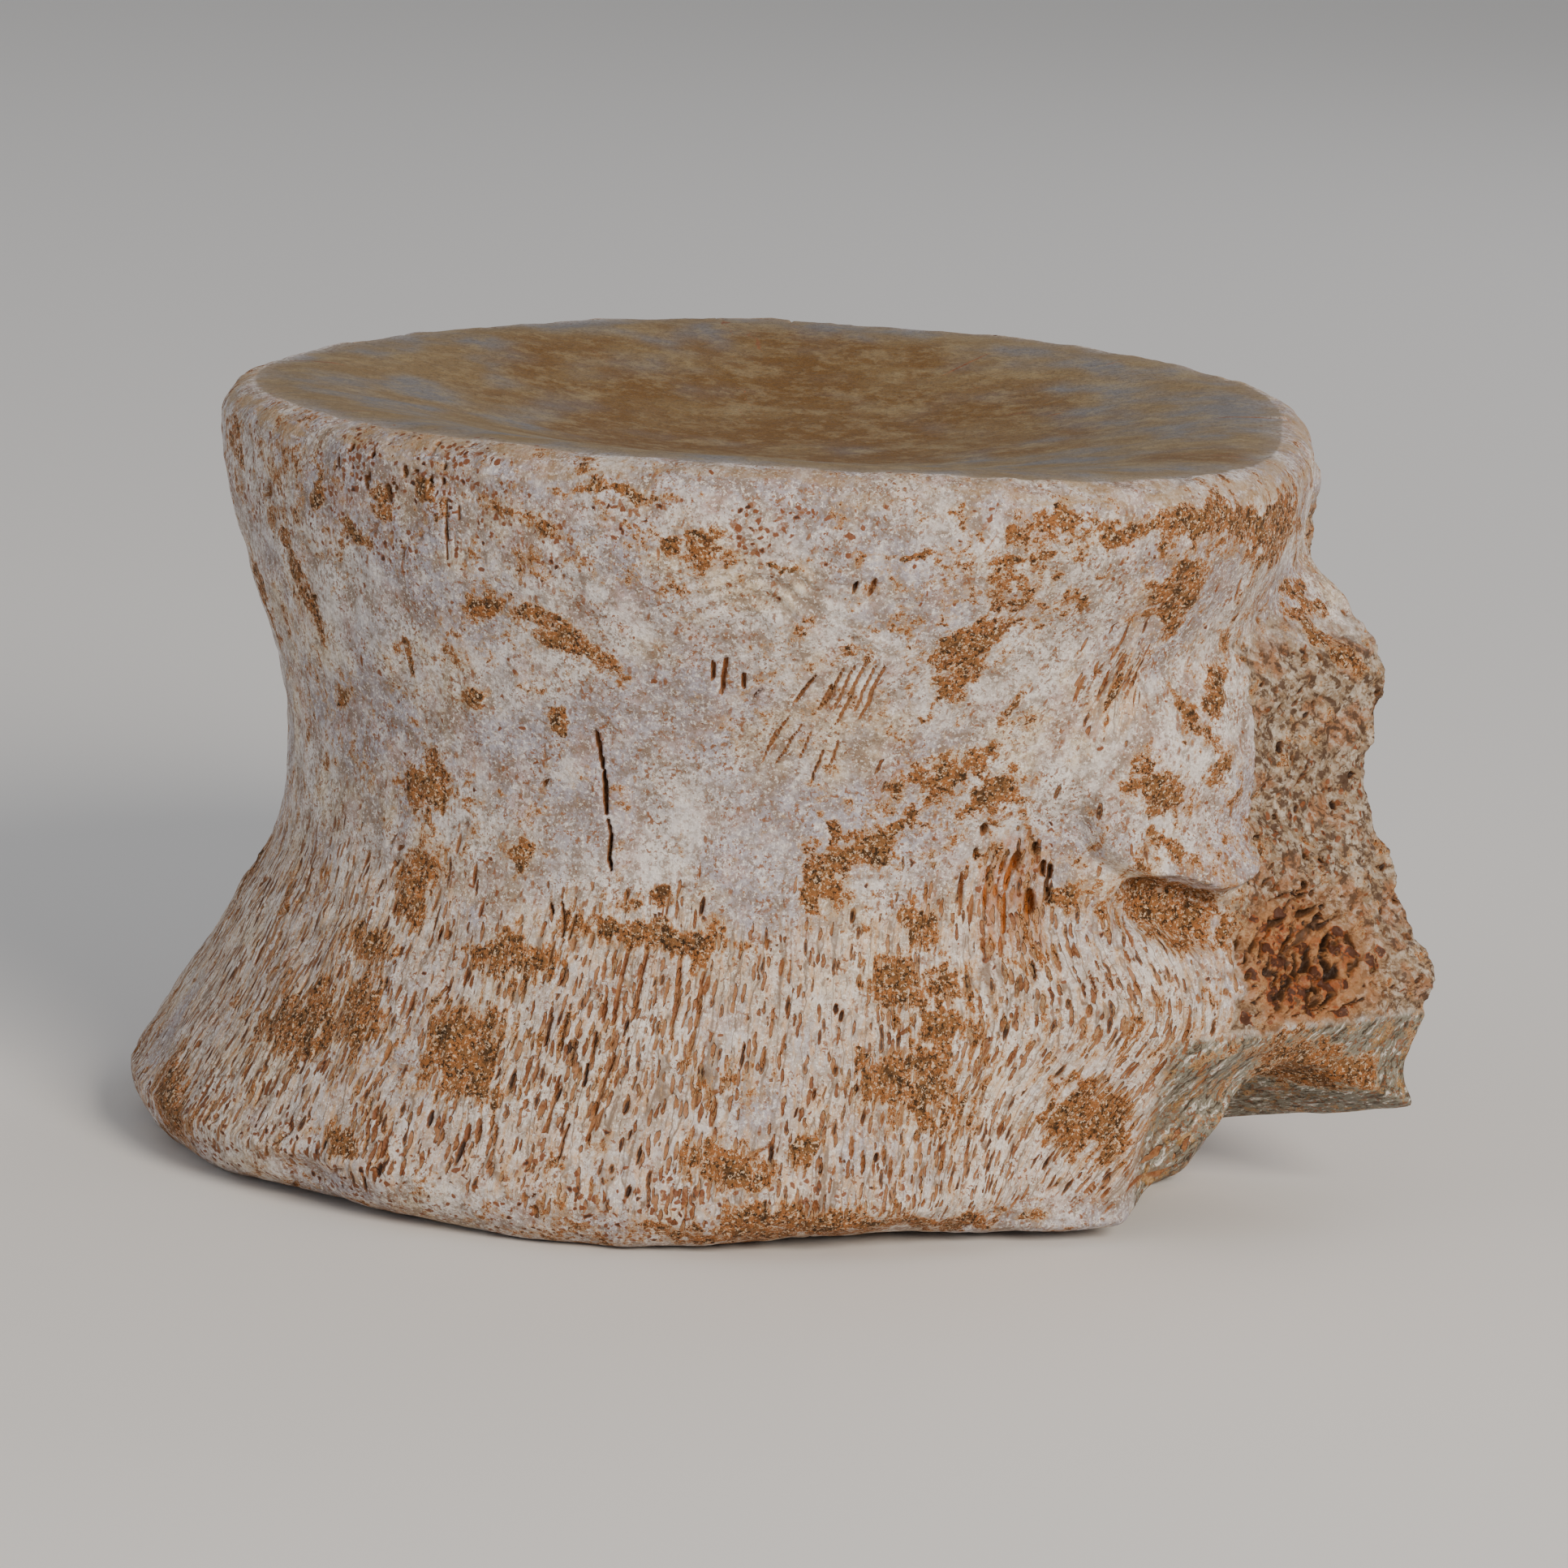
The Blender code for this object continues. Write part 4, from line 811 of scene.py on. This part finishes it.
# coats of colour from the bone up: each covers what is below it by the product of its masks, which are
# a pattern or mark, from and to which of its values it fades in, and how much it covers at each; a mask that is
# only a name covers as much as its mark says
boneCoats = (
    ("cool", ("tint", 0.40, 0.60, 0, 1)),
    ("cream", ("cloud", 0.50, 0.66, 0, 0.75)),
    ("pink", ("blush", 0.50, 0.66, 0, 0.8)),
    ("pale", ("mottle", 0.48, 0.36, 0, 0.7)),
    ("dirt", ("mottle", 0.50, 0.62, 0, 0.65)),
    # darker in the hollows of the relief and the wrinkles' troughs, with painted shade in the shoulder's hollow
    # and along the foot
    ("dirt", "hollow", ("mottle", 0.35, 0.6, 0.15, 0.6)),
    ("dirt", ("grit", 0.49, 0.62, 0, 0.75), ("clump", 0.34, 0.60, 0.45, 1)),
    ("ivory", ("fibres", 0.15, 0.45, 0, 0.25)),
    ("peach", ("fibres", 0.05, 0.35, 0, 1), ("streaks", 0.46, 0.64, 0, 0.65)),
    ("bright", ("grains", 0.54, 0.64, 0, 0.6)),
    # painted shade: dark greenish grey over the underside of the near stump's flange; the grooves, ochre and
    # specks that follow are its own marks
    ("flangePaintedShade", ("flangePaintedShade", 0, 1, 0, 0.9)),
    ("bright", "flangePaintedShade", ("grooves", 0.46, 0.34, 0, 0.65)),
    ("sandDark", "flangePaintedShade", ("grooves", 0.52, 0.62, 0, 0.9)),
    ("ochre", "flangePaintedShade", ("drift", 0.52, 0.60, 0, 0.75)),
    ("sandDark", "flangePaintedShade", ("specks", 0.54, 0.64, 0, 0.7)),
    ("speck", ("specks", 0.57, 0.62, 0, 0.9), ("clump", 0.36, 0.60, 0.35, 1)),
    ("speck", ("dash", 0, 1, 0, 0.85), ("mottle", 0.36, 0.60, 0.4, 1)),
    ("dirt", ("hairLines", 0.47, 0.5, 0, 1), ("hairLines", 0.53, 0.5, 0, 1), ("fibres", 0.05, 0.5, 0.2, 0.9)),
    ("rimStreak", "rim", ("rimLines", 0.44, 0.60, 0, 0.65)),
    ("ruddy", ("ruddy", 0.1, 0.8, 0, 0.9), ("streaks", 0.35, 0.6, 0.15, 1)),
    ("dirt", ("threads", 0.58, 0.66, 0, 0.85), ("fibres", 0.05, 0.4, 0, 1),
     ("mottle", 0.35, 0.65, 0.35, 0.9)),
    # the upper face: grey all over, partly painted shade for the grazing light it gets, then its real tan and
    # brown stain and pale clouds
    ("faceGreyAndShade", "face"),
    ("faceTan", "face", ("blur", 0.34, 0.60, 0.1, 0.9)),
    ("faceBrown", "face", ("stained", 0.0, 1.0, 0, 1)),
    ("faceTan", "face", ("cloud", 0.44, 0.66, 0, 0.65)),
    ("facePale", "face", ("blush", 0.50, 0.68, 0, 0.4)),
    ("facePale", "face", ("mottle", 0.50, 0.62, 0, 0.3)),
    ("sandDark", "face", ("grit", 0.48, 0.66, 0, 0.3)),
    ("breakPale", ("broken", 0, 1, 0, 0.95)),
    ("breakTan", "broken", ("specks", 0.38, 0.64, 0, 1)),
    ("breakTan", "broken", ("mottle", 0.38, 0.58, 0, 0.9)),
    ("breakRust", "broken", ("clump", 0.50, 0.62, 0, 0.7)),
    ("breakPale", "broken", ("struts", 0.53, 0.63, 0, 0.6)),
    ("breakDark", "broken", ("struts", 0.48, 0.38, 0, 0.9)),
    ("breakDark", "broken", ("clods", 0.47, 0.38, 0, 0.95)),
    ("cellRim", ("redCells", 0, 0.5, 0, 0.85)),
    ("breakRed", ("redCells", 0.1, 0.8, 0, 1), ("clods", 0.44, 0.60, 0, 0.8)),
    ("breakDark", ("redCells", 0.1, 0.8, 0, 1), ("struts", 0.48, 0.38, 0, 0.8)),
    ("breakRed", ("cell", 0, 0.5, 0, 0.9)),
    # painted shade: near black in the middles of the spongy cells
    ("pitPaintedShade", ("cell", 0.6, 1, 0, 0.8)),
    ("pitFill", ("lens", 0, 1, 0, 0.9)),
    ("pitRust", "lens", ("drift", 0.42, 0.58, 0, 0.95)),
    # painted shade in the dark middles of the finer openings
    ("pitPaintedShade", ("lensDark", 0, 1, 0, 0.85)),
    ("poreRed", ("pore", 0, 1, 0, 0.95)),
    # painted shade in the dark middles of the finer pores
    ("pitPaintedShade", ("poreDark", 0, 1, 0, 0.85)),
    ("pitFill", ("pit", 0.14, 0.34, 0, 0.92)),
    ("pitRust", ("pit", 0.14, 0.34, 0, 1), ("drift", 0.42, 0.58, 0, 0.95)),
    ("breakDark", "broken", ("pit", 0.14, 0.5, 0, 0.9)),
    ("amber", ("ruddy", 0.4, 0.8, 0, 1), ("pit", 0.3, 0.7, 0, 0.6)),
    # painted shade inside the dark pits and slits of the mesh
    ("pitPaintedShade", ("dark", 0.2, 0.7, 0, 0.9)),
    ("dust", ("level", 0.26, 0.42, 0, 0.6)),
    ("rust", ("level", 0.42, 0.47, 0, 0.92)),
    ("sand", ("level", 0.50, 0.60, 0, 1), ("mottle", 0.40, 0.56, 0.3, 1)),
    ("sandDark", ("level", 0.46, 0.56, 0, 1), ("clods", 0.50, 0.38, 0, 0.7)),
    ("sandDark", ("level", 0.44, 0.54, 0, 1), ("grit", 0.48, 0.39, 0, 0.95)),
    ("sandPale", ("level", 0.42, 0.52, 0, 1), ("grains", 0.54, 0.63, 0, 0.7)),
)


def fossilBone(name, look, coats):
    # fossil bone, mineral-filled and weathered in the ground: matt pale grey with cream and pink tints, and
    # ochre sand in its pores; all patterns are sized in millimetres from the bone's pores and sand grains
    material = bpy.data.materials.new(name)
    material.use_nodes = True
    tree = material.node_tree
    tree.nodes.clear()
    place = addNode(tree, "TexCoord")["Object"]
    grain = addNode(tree, "Attribute", attribute_name="grain")["Vector"]
    found = {}  # sockets of all patterns and marks by name
    for mark in marks:
        found[mark] = addNode(tree, "Attribute", attribute_name=mark)["Fac"]
    for pattern, (size, octaves, roughness, shift) in look["patterns"].items():
        moved = addNode(tree, "Mapping", {"Vector": place, "Location": (shift, shift, shift)})[0]
        found[pattern] = addNode(tree, "TexNoise", {
            "Vector": moved, "Scale": 1 / (size * mm), "Detail": octaves, "Roughness": roughness})["Fac"]

    # spaces in mm, bent by a noise: along the grain, straight, and turned
    bend = addNode(tree, "TexNoise", {
        "Vector": place, "Scale": 1 / (look["warpSize"] * mm), "Detail": 2})["Color"]
    bend = addNode(tree, "VectorMath", {0: bend, 1: (0.5, 0.5, 0.5)}, operation="SUBTRACT")[0]
    placeInMm = addNode(tree, "Mapping", {"Vector": place, "Scale": (1 / mm, 1 / mm, 1 / mm)})[0]
    spaces = {}
    for space, start in (("grain", grain), ("place", placeInMm)):
        reach = [2 * look["warpReach"][space]] * 3
        spaces[space] = addNode(tree, "VectorMath", {0: bend, 1: reach, 2: start},
                                operation="MULTIPLY_ADD")[0]
    for space, turns in look["turned"].items():
        spaces[space] = addNode(tree, "Mapping", {
            "Vector": spaces["place"], "Rotation": np.radians(turns).tolist()}, vector_type="TEXTURE")[0]
    for pattern, (space, sizes, octaves) in look["drawn"].items():
        squeezed = addNode(tree, "Mapping", {"Vector": spaces[space], "Scale": [1 / s for s in sizes]})[0]
        found[pattern] = addNode(tree, "TexNoise", {
            "Vector": squeezed, "Scale": 1.0, "Detail": octaves, "Roughness": look["drawnRoughness"]})["Fac"]

    # openings finer than the mesh: where they are, and the dark middles of some of them, painted shade of their
    # depth
    for opening, (space, size, squeeze, edge, full, amount) in look["openings"].items():
        squeezed = addNode(tree, "Mapping", {
            "Vector": spaces[space], "Scale": (1 / size, 1 / size, squeeze / size)})[0]
        cells = addNode(tree, "TexVoronoi", {"Vector": squeezed, "Scale": 1.0})
        cast = addNode(tree, "SeparateColor", {0: cells["Color"]})
        there = addNode(tree, "Math", {0: cast[0], 1: found[amount]}, operation="LESS_THAN")[0]
        gloomy = addNode(tree, "Math", {0: cast[1], 1: look["gloom"]}, operation="LESS_THAN")[0]
        found[opening] = addNode(tree, "MapRange", {
            0: cells["Distance"], 1: edge, 2: full, 3: 0.0, 4: there})[0]
        middle = addNode(tree, "MapRange", {
            0: cells["Distance"], 1: full, 2: 0.5 * full, 3: 0.0, 4: there})[0]
        found[opening + "Dark"] = addNode(tree, "Math", {0: middle, 1: gloomy}, operation="MULTIPLY")[0]

    # how thick the sediment lies, broken up by drifts that are drawn out along the fibres, and the face's stain
    spread = addNode(tree, "Mix", {0: found["fibres"], 2: found["drift"], 3: found["streaks"]})[0]
    low, high = look["noiseSpan"]
    for (level, (base, reach)), source in zip(look["brokenUp"].items(), (spread, found["blur"])):
        swing = addNode(tree, "MapRange", {0: source, 1: low, 2: high, 3: -reach, 4: reach})[0]
        found[level] = addNode(tree, "Math", {0: found[base], 1: swing}, operation="ADD")[0]

    colour = linear(look["colours"]["pale"])
    for tint, *masks in coats:
        share = None
        for mask in masks:
            source, low, high, first, last = (mask, 0, 1, 0, 1) if isinstance(mask, str) else mask
            mask = addNode(tree, "MapRange", {0: found[source], 1: low, 2: high, 3: first, 4: last},
                           interpolation_type="SMOOTHSTEP")[0]
            share = mask if share is None else addNode(
                tree, "Math", {0: share, 1: mask}, operation="MULTIPLY")[0]
        colour = addNode(tree, "Mix", {0: share, 6: colour, 7: linear(look["colours"][tint])},
                         data_type="RGBA")[2]

    low, high = look["clings"]
    clings = addNode(tree, "MapRange", {0: found["level"], 1: low, 2: high})[0]
    bare, covered = look["roughness"]
    rough = addNode(tree, "MapRange", {0: clings, 3: bare, 4: covered})[0]
    bare, covered = look["bumpGrit"]
    gritShare = addNode(tree, "MapRange", {0: clings, 3: bare, 4: covered})[0]
    height = addNode(tree, "Math", {0: found["grit"], 1: gritShare}, operation="MULTIPLY")[0]
    for source, weight in (("mottle", look["bumpMottle"]), ("lens", -look["bumpLens"])):
        height = addNode(tree, "Math", {0: found[source], 1: weight, 2: height},
                         operation="MULTIPLY_ADD")[0]
    bump = addNode(tree, "Bump", {
        "Strength": look["bumpStrength"], "Distance": look["bumpHeight"] * mm, "Height": height})
    shader = addNode(tree, "BsdfPrincipled", {
        "Base Color": colour, "Roughness": rough, "IOR": look["ior"], "Specular IOR Level": look["specular"],
        "Normal": bump[0]})
    addNode(tree, "OutputMaterial", {"Surface": shader[0]})
    return material


weatheredBone = fossilBone("weathered_fossil_bone", boneLook, boneCoats)
articularBone = fossilBone("stained_articular_fossil_bone", boneLook, boneCoats)
brokenBone = fossilBone("broken_spongy_fossil_bone", boneLook, boneCoats)
print("materials made")

# wall pieces: first and last angle, degrees between samples, material, nodes they stand for, slot
wallPieces = {
    "ventral_near_side": (-170, -118, 0.2, weatheredBone, ["centrum"], "fossil_bone"),
    "near_side": (-118, -66, 0.2, weatheredBone, ["centrum"], "fossil_bone"),
    "near_pedicle_side": (-66, -14, 0.2, brokenBone, ["centrum", "near_pedicle"], "broken_bone"),
    "canal_and_far_pedicle": (-14, 54, 0.27, brokenBone, ["centrum", "far_pedicle"], "broken_bone"),
    "far_side": (54, 122, 0.27, weatheredBone, ["centrum"], "fossil_bone"),
    "ventral_far_side": (122, 190, 0.27, weatheredBone, ["centrum"], "fossil_bone"),
}
for name, (start, stop, step, material, nodes, slot) in wallPieces.items():
    addPiece(name, wallGrid(start, stop, step), material, nodes)
upperGrid = faceGrid(gridSteps["upperFace"], 4 + gridSteps["faceShare"], 5, False)
addPiece("upper_articular_face", upperGrid, articularBone, ["centrum"])
lowerGrid = faceGrid(gridSteps["lowerFace"], 1, 0, True)
addPiece("lower_articular_face", lowerGrid, weatheredBone, ["centrum"])


# floor, light and camera

floorLook = {"size": 8.0, "colour": "#E6E4E0", "roughness": 0.8}
floorMesh = bpy.data.meshes.new("floor")
half = floorLook["size"] / 2
corners = [(-half, -half, 0), (half, -half, 0), (half, half, 0), (-half, half, 0)]
floorMesh.from_pydata(corners, [], [(0, 1, 2, 3)])
floor = addObject("floor", floorMesh)
floorMaterial = bpy.data.materials.new("matt_studio_paper")  # plain matt paper
floorMaterial.use_nodes = True
paper = floorMaterial.node_tree.nodes["Principled BSDF"]
paper.inputs["Base Color"].default_value = linear(floorLook["colour"])
paper.inputs["Roughness"].default_value = floorLook["roughness"]
floorMesh.materials.append(floorMaterial)

studio = {
    "target": (0.0, 0.0, 0.03),
    "lights": {  # place in metres, size, power in watts, colour
        "key_softbox": ((0.52, -0.76, 0.48), 0.42, 10.5, "#FFF4E8"),
        "fill_softbox": ((-0.85, -0.5, 0.35), 0.8, 1.6, "#EEF3FF"),
        "rim_softbox": ((0.5, 0.75, 0.6), 0.6, 1.6, "#F4F6FF"),
    },
    "sky": "#D6D7DA", "skyStrength": 0.55,
}
for name, (place, size, power, colour) in studio["lights"].items():
    lamp = bpy.data.lights.new(name, "AREA")
    lamp.shape, lamp.size, lamp.energy = "DISK", size, power
    lamp.color = linear(colour)[:3]
    light = addObject(name, lamp)
    light.location = place
    light.rotation_euler = (Vector(studio["target"]) - Vector(place)).to_track_quat("-Z", "Y").to_euler()
world = bpy.data.worlds.new("studio")
world.use_nodes = True
world.node_tree.nodes["Background"].inputs["Color"].default_value = linear(studio["sky"])
world.node_tree.nodes["Background"].inputs["Strength"].default_value = studio["skyStrength"]
bpy.context.scene.world = world

view = {  # angles in degrees, distance, target and clipping in metres, lens and sensor in mm
    "azimuth": 4.0, "elevation": 10.5, "roll": 2.5, "distance": 0.520, "target": (-0.0006, 0.0, 0.0273),
    "lens": 153.45, "sensor": 36.0, "clip": (0.05, 20.0),
}
azimuth, elevation, roll = np.radians([view["azimuth"], view["elevation"], view["roll"]])
level = np.cos(elevation)
back = np.array([np.sin(azimuth) * level, -np.cos(azimuth) * level, np.sin(elevation)])
right = np.array([np.cos(azimuth), np.sin(azimuth), 0])
up = np.cross(back, right)
turnedRight = right * np.cos(roll) + up * np.sin(roll)
turnedUp = -right * np.sin(roll) + up * np.cos(roll)
cameraData = bpy.data.cameras.new("camera")
cameraData.lens, cameraData.sensor_width = view["lens"], view["sensor"]
cameraData.clip_start, cameraData.clip_end = view["clip"]
camera = addObject("camera", cameraData)
place = np.array(view["target"]) + back * view["distance"]
axes = np.stack([turnedRight, turnedUp, back], 1)
camera.matrix_world = Matrix([[*axes[i], place[i]] for i in range(3)] + [[0, 0, 0, 1]])
bpy.context.scene.camera = camera
print("studio and camera placed")
